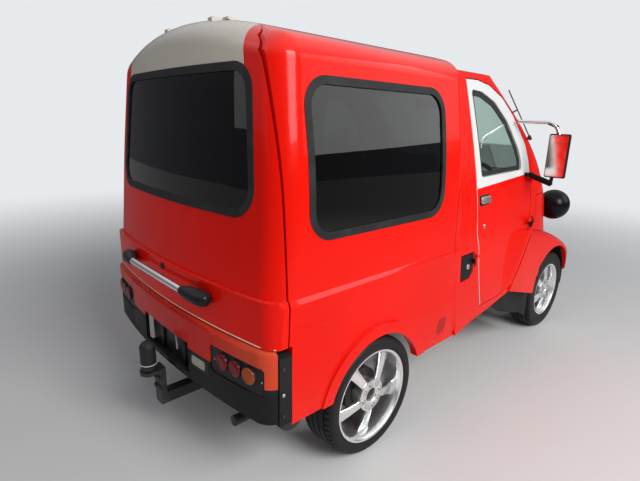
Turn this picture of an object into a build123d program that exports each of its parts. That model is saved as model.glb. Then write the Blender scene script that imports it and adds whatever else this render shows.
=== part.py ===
# Micro cargo van of the kei truck class: a short two-seat cab with ball headlamps and cycle-wing
# front fenders, and a taller load box with a wrap-round tailgate. The vehicle faces -Y, its right
# side is -X, the ground is Z = 0, and the origin lies on the ground under the middle of its box.
# All sizes are in millimetres.
import math
import os

from build123d import *

os.makedirs("parts", exist_ok=True)

# Chassis and stance
WHEELBASE = 1840
FRONT_AXLE_Y = -1060
REAR_AXLE_Y = FRONT_AXLE_Y + WHEELBASE
RAIL_X = 235
RAIL_WIDTH = 50
RAIL_HEIGHT = 90
RAIL_Z = 330
STEER_AXIS_X = 432

# Body stations along Y and heights
SEAM_Y = 210
GATE_Y = 1237
TAIL_Y = 1350
GAP = 3
SKIN = 28
SILL_Z = 348
LEDGE_Z = 778
LEDGE_TOP_Z = 799
ROOF_Z = 1682
CAB_ROOF_Z = 1645
GATE_LOW_Z = 640
LOAD_FLOOR_Z = 600
CAB_FLOOR_Z = 440
TAIL_LEAN = -0.093
TAIL_ROUND = 96
TAIL_BOW = 72
LOWER_ROUND = 75

# Half-widths of the load box
BOX_HALF = 640
BOX_WAIST_HALF = 631
BOX_SHOULDER_HALF = 572
BOX_SHOULDER_Z = 1592
WAIST_Z = 1190

# Horizontal sections of the cab: height, half-width, nose Y, corner radius, front radius
CAB_LOW_SECTIONS = [
    (SILL_Z, 660, -1290, 560, 800),
    (620, 641, -1300, 560, 800),
    (790, 635, -1241, 560, 800),
]
CAB_HIGH_SECTIONS = [
    (790, 635, -1241, 560, 800),
    (969, 620, -1122, 400, 850),
    (1273, 562, -795, 130, 900),
    (1567, 488, -399, 120, 900),
    (1720, 448, -190, 110, 900),
]

# Tyres and rims: radius, width, rim radius, outer face from the middle plane
FRONT_WHEEL = (264, 145, 179, 621)
REAR_WHEEL = (256, 165, 201, 640)
REAR_ARCH_R = 278
REAR_FLARE_R = 326
FRONT_ARCH_R = 336

# Door hinge pins, right side, lower and upper; the left side is their mirror image
HINGE_LOW = (-652, -548, 816)
HINGE_HIGH = (-624, -528, 1070)
GATE_TOP_Y = 1150
GATE_HINGE_Y = 1148
GATE_HINGE_Z = 1684


def save(name, shape):
    """Write one sub-part to its own file."""
    export_step(shape, f"parts/{name}.step")


def block(x_range, y_range, z_range):
    """A box given by its two corners along each axis."""
    spans = (x_range, y_range, z_range)
    size = [high - low for low, high in spans]
    centre = [(high + low) / 2 for low, high in spans]
    return Pos(*centre) * Box(*size)


def tube_x(radius, x_range, y, z):
    """A cylinder along X."""
    length = x_range[1] - x_range[0]
    return Pos((x_range[0] + x_range[1]) / 2, y, z) * Rot(0, 90, 0) * Cylinder(radius, length)


def bar(start, end, radius):
    """A round bar from one point to another."""
    start, end = Vector(*start), Vector(*end)
    plane = Plane(origin=start, z_dir=end - start)
    return extrude(plane * Circle(radius), (end - start).length)


def both(shape):
    """A left and right pair: the given right-hand solid and its mirror image."""
    return Compound(children=[*shape.solids(), *mirror(shape, about=Plane.YZ).solids()])


def outline_yz(points, x_range, radius=0):
    """A prism along X over a polygon in Y and Z, its corners rounded."""
    face = make_face(Polyline(*points, close=True))
    if radius:
        face = fillet(face.vertices(), radius)
    plane = Plane(origin=(x_range[0], 0, 0), x_dir=(0, 1, 0), z_dir=(1, 0, 0))
    return extrude(plane * face, x_range[1] - x_range[0])


def outline_xz(points, y_range, radius=0):
    """A prism along Y over a polygon in X and Z, its corners rounded."""
    face = make_face(Polyline(*points, close=True))
    if radius:
        face = fillet(face.vertices(), radius)
    plane = Plane(origin=(0, y_range[1], 0), x_dir=(1, 0, 0), z_dir=(0, -1, 0))
    return extrude(plane * face, y_range[1] - y_range[0])


def box_section(inset):
    """Cross-section of the upper load box: leaning sides, round shoulders, crowned roof."""
    shoulder = (BOX_SHOULDER_HALF - inset, BOX_SHOULDER_Z - inset)
    waist = (BOX_WAIST_HALF - inset, WAIST_Z)
    foot = (BOX_HALF - inset, LEDGE_Z - 30)
    left = [(-x, z) for x, z in (shoulder, waist, foot)]
    edges = [
        Line(foot, waist), Line(waist, shoulder),
        ThreePointArc(shoulder, (0, ROOF_Z - inset), left[0]),
        Line(left[0], left[1]), Line(left[1], left[2]), Line(left[2], foot),
    ]
    face = make_face(edges)
    upper = face.vertices().sort_by(Axis.Y)[-2:]
    face = fillet(upper, 106 - inset * 0.8)
    middle = [v for v in face.vertices() if abs(v.Y - WAIST_Z) < 1]
    return fillet(middle, 1800)


def tail_plan(inset, y_middle, half=720):
    """Plan view of the tail: a shallow curve across the full width."""
    half -= inset
    side_y = y_middle - TAIL_BOW * (half / 720) ** 2
    edges = [
        Line((-half, 100), (half, 100)), Line((half, 100), (half, side_y - inset)),
        ThreePointArc((half, side_y - inset), (0, y_middle - inset), (-half, side_y - inset)),
        Line((-half, side_y - inset), (-half, 100)),
    ]
    return make_face(edges)


def box_upper(inset):
    """Load box above the shoulder ledge, with its leaning tail."""
    plane = Plane(origin=(0, SEAM_Y + GAP + inset, 0), x_dir=(1, 0, 0), z_dir=(0, -1, 0))
    body = extrude(plane * box_section(inset), -(TAIL_Y + 100 - SEAM_Y))
    base = LEDGE_Z - 40
    tail = extrude(Pos(0, 0, base) * tail_plan(inset, TAIL_Y), 1100, dir=(0, TAIL_LEAN, 1))
    body = body & tail
    rear = body.faces().sort_by(Axis.Y)[-1]
    edges = [e for e in rear.edges() if e.center().Z > base + 20]
    body = fillet(edges, TAIL_ROUND - inset)
    front = body.faces().sort_by(Axis.Y)[0]
    edges = [e for e in front.edges() if e.center().Z > base + 20]
    return fillet(edges, max(58 - inset, 8))


def box_lower(inset):
    """Load box below the ledge: its sides stand out a little, and flare towards the sill."""
    bottom = SILL_Z - (80 if inset > 0 else 0)
    rows = [
        (642, 660, bottom), (641, 641, 620),
        (648, 643, LEDGE_Z - inset), (638, 635, LEDGE_TOP_Z - inset),
    ]
    sections = []
    for column, y in ((1, SEAM_Y + GAP + inset), (0, TAIL_Y + 60)):
        right = [(row[column] - inset, row[2]) for row in rows]
        left = [(-x, z) for x, z in reversed(right)]
        plane = Plane(origin=(0, y, 0), x_dir=(1, 0, 0), z_dir=(0, -1, 0))
        sections.append(plane * make_face(Polyline(*right, *left, close=True)))
    body = loft(sections, ruled=True)
    tail = tail_plan(inset, TAIL_Y + 8, 650)
    corners = tail.vertices().sort_by(Axis.Y)[-2:]
    tail = fillet(corners, LOWER_ROUND - inset)
    return body & extrude(Pos(0, 0, bottom - 10) * tail, 600)


def cab_plan(row, inset, y_rear):
    """Horizontal section of the cab: straight sides, round corners, a broad front curve."""
    z, half, nose, corner, front = row
    half, nose, corner, front = half - inset, nose + inset, corner - inset, front - inset
    reach = front - corner
    corner_y = nose + front - math.sqrt(reach**2 - (half - corner) ** 2)
    middle = Vector(0, nose + front)
    unit = Vector(half - corner, corner_y - middle.Y) / reach
    touch = middle + unit * front
    bisect = (Vector(1, 0) + unit).normalized()
    knee = Vector(half - corner, corner_y) + bisect * corner
    edges = [
        Line((-half, y_rear), (half, y_rear)), Line((half, y_rear), (half, corner_y)),
        ThreePointArc((half, corner_y), (knee.X, knee.Y), (touch.X, touch.Y)),
        ThreePointArc((touch.X, touch.Y), (0, nose), (-touch.X, touch.Y)),
        ThreePointArc((-touch.X, touch.Y), (-knee.X, knee.Y), (-half, corner_y)),
        Line((-half, corner_y), (-half, y_rear)),
    ]
    return Pos(0, 0, z) * make_face(edges)


def cab_solid(inset, y_rear=SEAM_Y - GAP):
    """The cab's form: flared skirt and nose below, leaning greenhouse and crowned roof above."""
    rows = list(CAB_LOW_SECTIONS)
    if inset > 0:
        rows[0] = (rows[0][0] - 80, *rows[0][1:])
    low = loft([cab_plan(row, inset, y_rear) for row in rows], ruled=True)
    high = loft([cab_plan(row, inset, y_rear) for row in CAB_HIGH_SECTIONS])
    top = CAB_ROOF_Z - inset
    edge = top - 128
    roof = make_face([
        Line((-700, 300), (700, 300)), Line((700, 300), (700, edge)),
        ThreePointArc((700, edge), (0, top), (-700, edge)), Line((-700, edge), (-700, 300)),
    ])
    plane = Plane(origin=(0, y_rear + 10, 0), x_dir=(1, 0, 0), z_dir=(0, -1, 0))
    crown = extrude(plane * roof, 1700)
    return (low + high) & crown


def box_solid(inset):
    """The whole load box, its sides pushed in by the inset."""
    return box_upper(inset) + box_lower(inset)


def arch_cut(y, z, radius, x_range):
    """A round wheel opening, cut through to below the sill."""
    opening = tube_x(radius, x_range, y, z)
    return opening + block(x_range, (y - radius, y + radius), (z - 300, z - 20))


def ring(outer, inner):
    """What lies between two prisms."""
    return outer - inner


# Load box: one shell split into the body with its two window openings, and the tailgate
box_outer = box_solid(0)
box_wall = box_outer - box_solid(SKIN)
GATE_PROFILE = [
    (GATE_Y, GATE_LOW_Z - 10), (GATE_Y, 1545), (GATE_Y - 18, 1590), (GATE_TOP_Y + 10, 1650),
    (GATE_TOP_Y, 1670), (GATE_TOP_Y, 1800),
]


def gate_region(shift):
    """Everything behind the tailgate seam, moved back by half the gap."""
    seam = [(y + shift, z) for y, z in GATE_PROFILE]
    return outline_yz([*seam, (1500, 1800), (1500, GATE_LOW_Z - 10)], (-720, 720))


# Side windows: a long opening with round corners, its seal lipped over the edge
WINDOW_Y = (380, 1150)
WINDOW_Z = (968, 1485)
WINDOW_R = 100
SEAL_WIDTH = 27


def side_window(grow, x_range):
    """The side window's outline, larger or smaller by a margin."""
    (y0, y1), (z0, z1) = WINDOW_Y, WINDOW_Z
    corners = [(y0 - grow, z0 - grow), (y1 + grow, z0 - grow), (y1 + grow, z1 + grow), (y0 - grow, z1 + grow)]
    return outline_yz(corners, x_range, WINDOW_R + grow)


def rear_window(grow, y_range):
    """The tailgate window's outline, wider below than above."""
    low, high, low_z, high_z = 530 + grow, 474 + grow, 1040 - grow, 1520 + grow
    corners = [(-low, low_z), (low, low_z), (high, high_z), (-high, high_z)]
    return outline_xz(corners, y_range, 95 + grow)


def window_seal(solid_at, outline):
    """Rubber seal: it fills the opening's edge and stands a little proud of the panel."""
    return (solid_at(-2) - solid_at(11)) & ring(outline(0), outline(-SEAL_WIDTH))


def window_glass(solid_at, outline):
    """Glass set in the middle of its seal."""
    return (solid_at(4) - solid_at(9)) & outline(-SEAL_WIDTH)


def right_outline(grow):
    return side_window(grow, (-720, -400))


def rear_outline(grow):
    return rear_window(grow, (1100, 1500))


side_openings = side_window(0, (-720, 720))
passage = outline_xz(
    [(-585, 640), (585, 640), (585, 800), (480, 1400), (415, 1560), (-415, 1560), (-480, 1400), (-585, 800)],
    (SEAM_Y - 20, SEAM_Y + 60), 40,
)
rear_arch = arch_cut(REAR_AXLE_Y - 5, REAR_WHEEL[0], REAR_ARCH_R, (-720, 720))
cargo_shell = box_wall - gate_region(-GAP) - side_openings - passage - rear_arch
behind = block((-720, 720), (GATE_Y - 15, 1500), (200, GATE_LOW_Z))
cargo_shell -= behind
cargo_shell -= block((-600, 600), (SEAM_Y - 20, SEAM_Y + 60), (200, LOAD_FLOOR_Z - 14))
flare = tube_x(REAR_FLARE_R, (-656, -600), REAR_AXLE_Y - 5, REAR_WHEEL[0])
flare -= tube_x(REAR_ARCH_R, (-720, -500), REAR_AXLE_Y - 5, REAR_WHEEL[0])
flare &= block((-720, -500), (300, 1230), (SILL_Z, 700))
flare -= box_solid(SKIN)
cargo_shell = cargo_shell + both(flare).solids()
save("cargo_shell", cargo_shell)

gate_wall = box_wall & gate_region(GAP)
gate_wall &= block((-720, 720), (1100, 1500), (GATE_LOW_Z, 1800))
gate_wall -= rear_window(0, (1100, 1500))
gate_mounts = []
for x in (-170, 170):
    leaf = block((x + 2, x + 30), (GATE_TOP_Y + 5, GATE_TOP_Y + 46), (1640, GATE_HINGE_Z - 1)) - box_outer
    leaf += tube_x(5, (x + 2, x + 30), GATE_HINGE_Y, GATE_HINGE_Z)
    leaf += block((x + 2, x + 30), (GATE_HINGE_Y, GATE_TOP_Y + 40), (GATE_HINGE_Z - 4, GATE_HINGE_Z + 2))
    gate_wall += max(leaf.solids(), key=lambda solid: solid.volume)
    foot = block((x - 30, x), (GATE_TOP_Y - 46, GATE_TOP_Y - 6), (1640, GATE_HINGE_Z - 1)) - box_outer
    foot += tube_x(5, (x - 30, x), GATE_HINGE_Y, GATE_HINGE_Z)
    foot += block((x - 30, x), (GATE_TOP_Y - 40, GATE_HINGE_Y), (GATE_HINGE_Z - 4, GATE_HINGE_Z + 2))
    gate_mounts.append(max(foot.solids(), key=lambda solid: solid.volume))
save("tailgate", gate_wall)
save("roof_hinges", Compound(children=gate_mounts))
save("tailgate_seal", window_seal(box_upper, rear_outline))
save("tailgate_glass", window_glass(box_upper, rear_outline))
save("side_seals", both(window_seal(box_upper, right_outline)))
save("side_glass", both(window_glass(box_upper, right_outline)))

# Cab: one shell split into body, nose, doors and fenders
DOOR_GAP = 3
DOOR_OUTLINE = [
    (-30, 441), (-201, 443), (-365, 475), (-429, 565), (-518, 707), (-556, 790), (-562, 960),
    (-547, 1165), (-522, 1243), (-406, 1397), (-298, 1486), (-170, 1540), (-60, 1557), (50, 1557),
    (46, 812), (24, 785),
]
DOOR_GLASS = [
    (-2, 1098), (-452, 1112), (-452, 1160), (-428, 1225), (-330, 1365), (-210, 1460), (-90, 1503), (12, 1510),
]
SILL_LINE = [
    (260, 340), (190, 352), (48, 380), (-120, 400), (-362, 438), (-1500, 438), (-1500, 200), (260, 200),
]
NOSE_SEAM_Y = -640
NOSE_SEAM_Z = 958
right_side = (-720, -380)


def grown(points, margin):
    """A polygon in Y and Z with each side moved out by a margin."""
    face = make_face(Polyline(*points, close=True))
    return offset(face, amount=margin, kind=Kind.INTERSECTION)


def prism_yz(face, x_range):
    """A prism along X over a face drawn in Y and Z."""
    plane = Plane(origin=(x_range[0], 0, 0), x_dir=(0, 1, 0), z_dir=(1, 0, 0))
    return extrude(plane * face, x_range[1] - x_range[0])


cab_outer = cab_solid(0)
cab_wall = cab_outer - cab_solid(SKIN, SEAM_Y + 40)
front_arch = arch_cut(FRONT_AXLE_Y, FRONT_WHEEL[0], FRONT_ARCH_R, (-720, -290))
front_arches = both(front_arch)
below_sill = outline_yz(SILL_LINE, (-720, 720))
door_cut = prism_yz(grown(DOOR_OUTLINE, DOOR_GAP), right_side)
windscreen_corners = [(-548, 1005), (548, 1005), (440, 1540), (-440, 1540)]
windscreen_range = (-1400, -250)
cab_wall = cab_wall - front_arches - below_sill
nose_region = block((-720, 720), (-1500, NOSE_SEAM_Y), (300, NOSE_SEAM_Z))
cab_frame = cab_wall - door_cut - mirror(door_cut, about=Plane.YZ)
cab_frame -= outline_xz(windscreen_corners, windscreen_range, 60)
nose_gap = block((-720, 720), (-1500, NOSE_SEAM_Y + 4), (300, NOSE_SEAM_Z + 4))
FUEL_LID = [(62, 741), (177, 738), (171, 614), (96, 618), (54, 660)]
lid_opening = prism_yz(grown(FUEL_LID, 5), right_side)
cab_frame -= lid_opening
hinge_eyes = []
for z in (675, 715):
    eye = Pos(-650, 55, z + 6) * Cylinder(4, 12) + (block((-654, -646), (36, 55), (z, z + 12)) - cab_outer)
    eye += block((-652, -630), (36, 44), (z, z + 12)) - cab_outer
    hinge_eyes.append(max(eye.solids(), key=lambda solid: solid.volume))
save("cab_shell", (cab_frame - nose_gap) + hinge_eyes)
save("nose_panel", cab_frame & nose_region)


def windscreen_outline(grow):
    (x0, z0), _, (x1, z1), _ = windscreen_corners
    x0, x1, z0, z1 = -x0 + grow, x1 + grow, z0 - grow, z1 + grow
    return outline_xz([(-x0, z0), (x0, z0), (x1, z1), (-x1, z1)], windscreen_range, 60 + grow)


glass = (cab_solid(6) - cab_solid(13)) & windscreen_outline(-14)
seal = (cab_solid(-3) - cab_solid(0)) & ring(windscreen_outline(8), windscreen_outline(-14))
seal += (cab_solid(0) - cab_solid(18)) & ring(windscreen_outline(0), windscreen_outline(-14))
save("windscreen", glass)
save("windscreen_seal", seal)

BULGE_OUTLINE = [
    (-196, 462), (-204, 503), (-239, 636), (-294, 741), (-352, 775), (-640, 775), (-640, 400), (-240, 400),
]
BULGE_PLANE = Plane(origin=(-639, -204, 503), x_dir=(0, -0.477, 0.879), z_dir=(-0.9862, 0.1455, 0.079))
swell = prism_yz(make_face(Polyline(*BULGE_OUTLINE, close=True)), (-664, -560))
swell -= extrude(BULGE_PLANE * Rectangle(3000, 3000), 300)
swell = (swell & prism_yz(grown(DOOR_OUTLINE, -DOOR_GAP), right_side)) - cab_outer
door_panel = cab_wall & prism_yz(grown(DOOR_OUTLINE, -DOOR_GAP), right_side)
door_panel += max(swell.solids(), key=lambda solid: solid.volume)
door_panel -= outline_yz(DOOR_GLASS, right_side, 20)
door_glass = (cab_solid(10) - cab_solid(15)) & prism_yz(grown(DOOR_GLASS, 6), right_side)
save("door_right", door_panel - door_glass)
save("door_glass_right", door_glass)

# Front fenders: arched wings that stand out of the nose and run back to the doors
FENDER_HALF = 667
FENDER_ROUND = 44
FENDER_TOP = [(-1060, 636), (-1240, 555), (-1400, 366)]
FENDER_TIP = FENDER_TOP[-1]
crest = [ThreePointArc((-556, 774), (-800, 722), FENDER_TOP[0])]
for start, end in zip(FENDER_TOP, FENDER_TOP[1:]):
    crest.append(TangentArc(start, end, tangent=crest[-1] % 1))
front_end = Vector(*FENDER_TIP) + (crest[-1] % 1) * 200
wing = prism_yz(make_face([
    Line((-348, 443), (-365, 475)), Line((-365, 475), (-518, 707)), Line((-518, 707), (-556, 774)),
    *crest, Line(FENDER_TIP, front_end),
    Line(front_end, (-348, front_end.Y)), Line((-348, front_end.Y), (-348, 443)),
]), (-FENDER_HALF, -330))
wing_plan = make_face([
    Line((-FENDER_HALF, -300), (-330, -300)), Line((-330, -300), (-330, -1500)),
    Line((-330, -1500), (-556, -1500)), ThreePointArc((-556, -1500), (-648, -1270), (-FENDER_HALF, -1060)),
    Line((-FENDER_HALF, -1060), (-FENDER_HALF, -300)),
])
wing &= extrude(Pos(0, 0, 50) * wing_plan, 900)
crown = [
    e for e in wing.edges()
    if e.center().X < -560 and e.center().Y < -600 and e.center().Z > 230 and e.length > 120
]
wing = fillet(crown, FENDER_ROUND)
opening = prism_yz(make_face([
    Line((-300, 50), (-300, 470)), Line((-300, 470), (-348, 443)), Line((-348, 443), (-690, 344)),
    Line((-690, 344), (-716, 478)), ThreePointArc((-716, 478), (-980, 597), (-1300, 352)),
    Line((-1300, 352), (-1550, 352)), Line((-1550, 352), (-1550, 50)), Line((-1550, 50), (-300, 50)),
]), (-720, -300))
inner_cut = arch_cut(FRONT_AXLE_Y, FRONT_WHEEL[0], FRONT_ARCH_R - 12, (-646, -200))
fender = wing - opening - cab_outer - door_cut - inner_cut
fender = max(fender.solids(), key=lambda solid: solid.volume)
save("front_fenders", both(fender))

# Black liners behind and over the front wheels
liner = tube_x(FRONT_ARCH_R - 12, (-600, -292), FRONT_AXLE_Y, FRONT_WHEEL[0])
liner -= tube_x(FRONT_ARCH_R - 18, (-620, -300), FRONT_AXLE_Y, FRONT_WHEEL[0])
liner &= block((-640, -290), (FRONT_AXLE_Y - 400, FRONT_AXLE_Y + 400), (FRONT_WHEEL[0] - 30, 620))
skirt = outline_yz(
    [(-190, 398), (-355, 432), (-690, 340), (-735, 340), (-735, 166), (-640, 213), (-342, 307)], (-622, -612),
)
flap = block((-622, -440), (-735, -727), (166, 340))
save("wheel_liners", both(liner + skirt + flap))


# Rear bumper: painted upper shell, black lower valance with end plates, lamp clusters
BUMPER_Y = 1373
BUMPER_TOP_Z = 636
BUMPER_SPLIT_Z = 503
BUMPER_LOW_Z = 372
LAMP_X = (345, 611)
LAMP_Z = (473, 576)
LENS_X = (417.7, 484.0, 551.7)
LENS_Z = 534
LENS_R = 31
PLATE_HALF = 197
PLATE_Z = (394, 524)


def bumper_band(inset, z_range):
    """A slice of the bumper's rounded form."""
    plan = tail_plan(inset, BUMPER_Y, 645)
    corners = plan.vertices().sort_by(Axis.Y)[-2:]
    plan = fillet(corners, 78 - inset)
    band = extrude(Pos(0, 0, z_range[0]) * plan, z_range[1] - z_range[0])
    return band & block((-720, 720), (GATE_Y + 42, 1500), (200, 800))


def lamp_outline(grow):
    x0, x1 = -LAMP_X[1] - grow, -LAMP_X[0] + grow
    z0, z1 = LAMP_Z[0] - grow, LAMP_Z[1] + grow
    return outline_xz([(x0, z0), (x1, z0), (x1, z1), (x0, z1)], (1200, 1500), 14 + grow)


lamp_holes = both(lamp_outline(1))
plate_hole = block((-PLATE_HALF, PLATE_HALF), (1250, 1500), PLATE_Z)
upper = bumper_band(0, (BUMPER_SPLIT_Z, BUMPER_TOP_Z))
rim_edges = [
    e for e in upper.faces().sort_by(Axis.Z)[-1].edges() if e.center().Y > GATE_Y + 60
]
upper = fillet(rim_edges, 20) - bumper_band(16, (BUMPER_SPLIT_Z - 50, BUMPER_TOP_Z - 16))
save("rear_bumper", upper - lamp_holes - plate_hole)
lower = bumper_band(0, (BUMPER_LOW_Z, BUMPER_SPLIT_Z))
lower -= bumper_band(16, (BUMPER_LOW_Z - 50, BUMPER_SPLIT_Z + 50))
end_plate = block((-646, -612), (GATE_Y - 12, GATE_Y + 40), (362, 612))
end_plates = both(end_plate)
save("rear_valance", lower - lamp_holes - plate_hole + end_plates.solids())
cluster = (bumper_band(4, (450, 600)) - bumper_band(26, (440, 610))) & lamp_outline(0)
for x in LENS_X:
    lens = Pos(-x, 1300, LENS_Z) * Rot(90, 0, 0) * Cylinder(LENS_R, 300)
    cluster += (bumper_band(-4, (440, 620)) - bumper_band(12, (440, 620))) & lens
save("tail_lamps", both(cluster))

# Tow gear: square bar under the valance, drop plate, ball and its rubber cover
BALL_Y = 1445
BALL_R = 25
TOW_BAR_Z = (184, 232)
tow = block((-24, 24), (960, 1412), TOW_BAR_Z)
tow += block((-30, 30), (1388, 1412), (190, 353))
tow += block((-34, 34), (1400, BALL_Y + 20), (337, 353))
tow += Pos(0, BALL_Y, 345) * Cylinder(36, 16)
tow += bar((0, BALL_Y, 340), (0, BALL_Y, 420), 14)
tow += Pos(0, BALL_Y, 428) * Sphere(BALL_R)
for side in (-1, 1):
    tow += block((side * 64 - 12, side * 64 + 12), (950, 996), (184, RAIL_Z + 45))
tow += block((-76, 76), (950, 996), TOW_BAR_Z)
tow += block((-RAIL_X + RAIL_WIDTH / 2, RAIL_X - RAIL_WIDTH / 2), (950, 996), (RAIL_Z + 19, RAIL_Z + 45))
save("tow_hitch", tow)
cover = Pos(0, BALL_Y, 408) * Cylinder(31, 100) + Pos(0, BALL_Y, 450) * Sphere(31)
cover -= Pos(0, BALL_Y, 406) * Cylinder(BALL_R + 0.5, 110) + Pos(0, BALL_Y, 440) * Sphere(BALL_R + 0.5)
save("tow_ball_cover", cover)

# Front bumper and headlamps
FRONT_BUMPER_Z = (330, 462)
FRONT_BUMPER_PLAN = [(600, -1424), (0, -1470), (-600, -1424)]


def front_band(inset, z_range):
    """A slice of the front bumper: a shallow bow across the full width, ahead of the wings."""
    (end_x, end_y), (_, nose_y), _ = FRONT_BUMPER_PLAN
    end_x, end_y, nose_y = end_x - inset, end_y + inset, nose_y + inset
    plan = make_face([
        ThreePointArc((end_x, end_y), (0, nose_y), (-end_x, end_y)), Line((-end_x, end_y), (-end_x, -1411)),
        Line((-end_x, -1411), (end_x, -1411)), Line((end_x, -1411), (end_x, end_y)),
    ])
    return extrude(Pos(0, 0, z_range[0]) * plan, z_range[1] - z_range[0])


front_bumper = front_band(0, FRONT_BUMPER_Z)
front_edges = [e for e in front_bumper.edges() if e.length > 1000 and e.center().Y < -1430]
front_bumper = fillet(front_edges, 18)
front_bumper -= block((-210, 210), (-1500, -1400), (372, 432))
front_bumper -= block((-430, 430), (-1436, -1400), (FRONT_BUMPER_Z[0] - 10, FRONT_BUMPER_Z[1] - 16))
for side in (-1, 1):
    near, far = sorted((side * (RAIL_X - 24), side * (RAIL_X + 24)))
    front_bumper += block((near, far), (-1450, -1272), (RAIL_Z + 12, RAIL_Z + 78))
save("front_bumper", front_bumper)
HEADLAMP = (-575, -1075, 848)
HEADLAMP_R = 97
pod = Pos(*HEADLAMP) * Sphere(HEADLAMP_R)
pod -= block((-800, -400), (-1400, HEADLAMP[1] - 68), (700, 1000))
pod += bar(HEADLAMP, (HEADLAMP[0] + 150, HEADLAMP[1] + 60, HEADLAMP[2] - 30), 30)
save("headlamps", both(max((pod - cab_outer).solids(), key=lambda solid: solid.volume)))
lens = Pos(*HEADLAMP) * Sphere(HEADLAMP_R - 8)
lens &= block((-800, -400), (HEADLAMP[1] - 86, HEADLAMP[1] - 68), (700, 1000))
save("headlamp_lenses", both(lens))

# Ladder frame: two rails with cross-members, under both floors
frame_y = (-1270, 1190)
ladder = None
for side in (-1, 1):
    rail_x = (side * RAIL_X - RAIL_WIDTH / 2, side * RAIL_X + RAIL_WIDTH / 2)
    rail = block(rail_x, frame_y, (RAIL_Z, RAIL_Z + RAIL_HEIGHT))
    ladder = rail if ladder is None else ladder + rail
for y in (-1250, -800, 250, 560, 1020, 1165):
    ladder += block((-RAIL_X, RAIL_X), (y - 22, y + 22), (RAIL_Z + 20, RAIL_Z + 75))
save("ladder_frame", ladder)

# Floors
load_floor = block((-606, 606), (SEAM_Y + 34, GATE_Y - 25), (LOAD_FLOOR_Z - 14, LOAD_FLOOR_Z))
for y in (300, 640, 1150):
    load_floor += block((-300, 300), (y - 25, y + 25), (RAIL_Z + RAIL_HEIGHT, LOAD_FLOOR_Z - 14))
save("load_floor", load_floor)
SEAT_BOX_Y = (-300, 200)
SEAT_BOX_Z = 585
cab_floor = block((-600, 600), (-705, SEAM_Y - 2), (CAB_FLOOR_Z - 14, CAB_FLOOR_Z))
cab_floor += block((-286, 286), (-1150, -705), (CAB_FLOOR_Z - 14, CAB_FLOOR_Z))
cab_floor += block((-286, 286), (-1150, -1136), (CAB_FLOOR_Z - 14, 760))
cab_floor += block((-480, 480), SEAT_BOX_Y, (CAB_FLOOR_Z, SEAT_BOX_Z))
hollow = block((-466, 466), (SEAT_BOX_Y[0] + 14, SEAT_BOX_Y[1] - 14), (CAB_FLOOR_Z - 20, SEAT_BOX_Z - 14))
save("cab_floor", cab_floor - hollow)

# Seats, dashboard, steering column
SEAT_X = 245


def seat_at(x):
    """A seat: cushion and leaning back with rounded edges."""
    cushion = fillet(block((x - 215, x + 215), (-320, 110), (SEAT_BOX_Z, SEAT_BOX_Z + 110)).edges(), 30)
    back = fillet(block((-215, 215), (0, 105), (0, 580)).edges(), 34)
    back = Pos(x, 55, SEAT_BOX_Z + 70) * Rot(-9, 0, 0) * back
    return cushion + back


save("seats", Compound(children=[*seat_at(-SEAT_X).solids(), *seat_at(SEAT_X).solids()]))
dash = cab_solid(SKIN + 8) & block((-700, 700), (-1150, -690), (800, 970))
dash = fillet([e for e in dash.edges() if abs(e.center().Y + 690) < 1 and e.center().Z > 960], 40)
save("dashboard", dash)
WHEEL_CENTRE = Vector(-245, -480, 985)
COLUMN_DIR = Vector(0, math.cos(math.radians(42)), math.sin(math.radians(42)))
column = bar(WHEEL_CENTRE - COLUMN_DIR * 330, WHEEL_CENTRE - COLUMN_DIR * 40, 32) - dash
save("steering_column", max(column.solids(), key=lambda solid: solid.volume))
hub_plane = Plane(origin=WHEEL_CENTRE, x_dir=(1, 0, 0), z_dir=COLUMN_DIR)
rim = hub_plane * Torus(172, 13)
spokes = hub_plane * (Box(344, 34, 10) + Pos(0, -80, 0) * Box(34, 170, 10))
boss = hub_plane * Pos(0, 0, -16) * Cylinder(36, 44)
save("steering_wheel", rim + spokes + boss)

# Running gear carried by the body
save("engine", fillet(block((-165, 165), (-255, 190), (226, 424)).edges(), 14))
silencer = fillet((Pos(-425, 1148, 288) * Rot(0, 90, 0) * Cylinder(54, 270)).edges(), 14)
exhaust = silencer + bar((-400, 1150, 262), (-400, 1302, 262), 20)
PIPE_ROUTE = [(-150, 192, 312), (-150, 1020, 312), (-150, 1070, 262), (-310, 1140, 262)]
for start, end in zip(PIPE_ROUTE, PIPE_ROUTE[1:]):
    exhaust += bar(start, end, 17) + Pos(*end) * Sphere(17)
save("exhaust", exhaust)
save("fuel_tank", fillet(block((320, 560), (228, 490), (235, 425)).edges(), 24))
rear_z = REAR_WHEEL[0]
DRUM_FACE = 566
axle = tube_x(30, (-500, 500), REAR_AXLE_Y, rear_z) + Pos(0, REAR_AXLE_Y, rear_z) * Sphere(95)
for side in (-1, 1):
    near, far = sorted((side * 486, side * DRUM_FACE))
    axle += tube_x(96, (near, far), REAR_AXLE_Y, rear_z)
    near, far = sorted((side * DRUM_FACE, side * (DRUM_FACE + 44)))
    axle += tube_x(28, (near, far), REAR_AXLE_Y, rear_z)
axle += bar((0, REAR_AXLE_Y, rear_z), (0, 196, 302), 30)
save("rear_axle", axle)
springs = []
for side in (-1, 1):
    x_range = (side * RAIL_X - 26, side * RAIL_X + 26)
    spring = block(x_range, (420, 1140), (300, 312)) + block(x_range, (560, 1000), (290, 300))
    spring += block(x_range, (REAR_AXLE_Y - 60, REAR_AXLE_Y + 60), (284, 290))
    spring += block(x_range, (420, 450), (312, RAIL_Z)) + block(x_range, (1110, 1140), (312, RAIL_Z))
    springs.extend((spring - axle).solids())
save("leaf_springs", Compound(children=springs))

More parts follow.
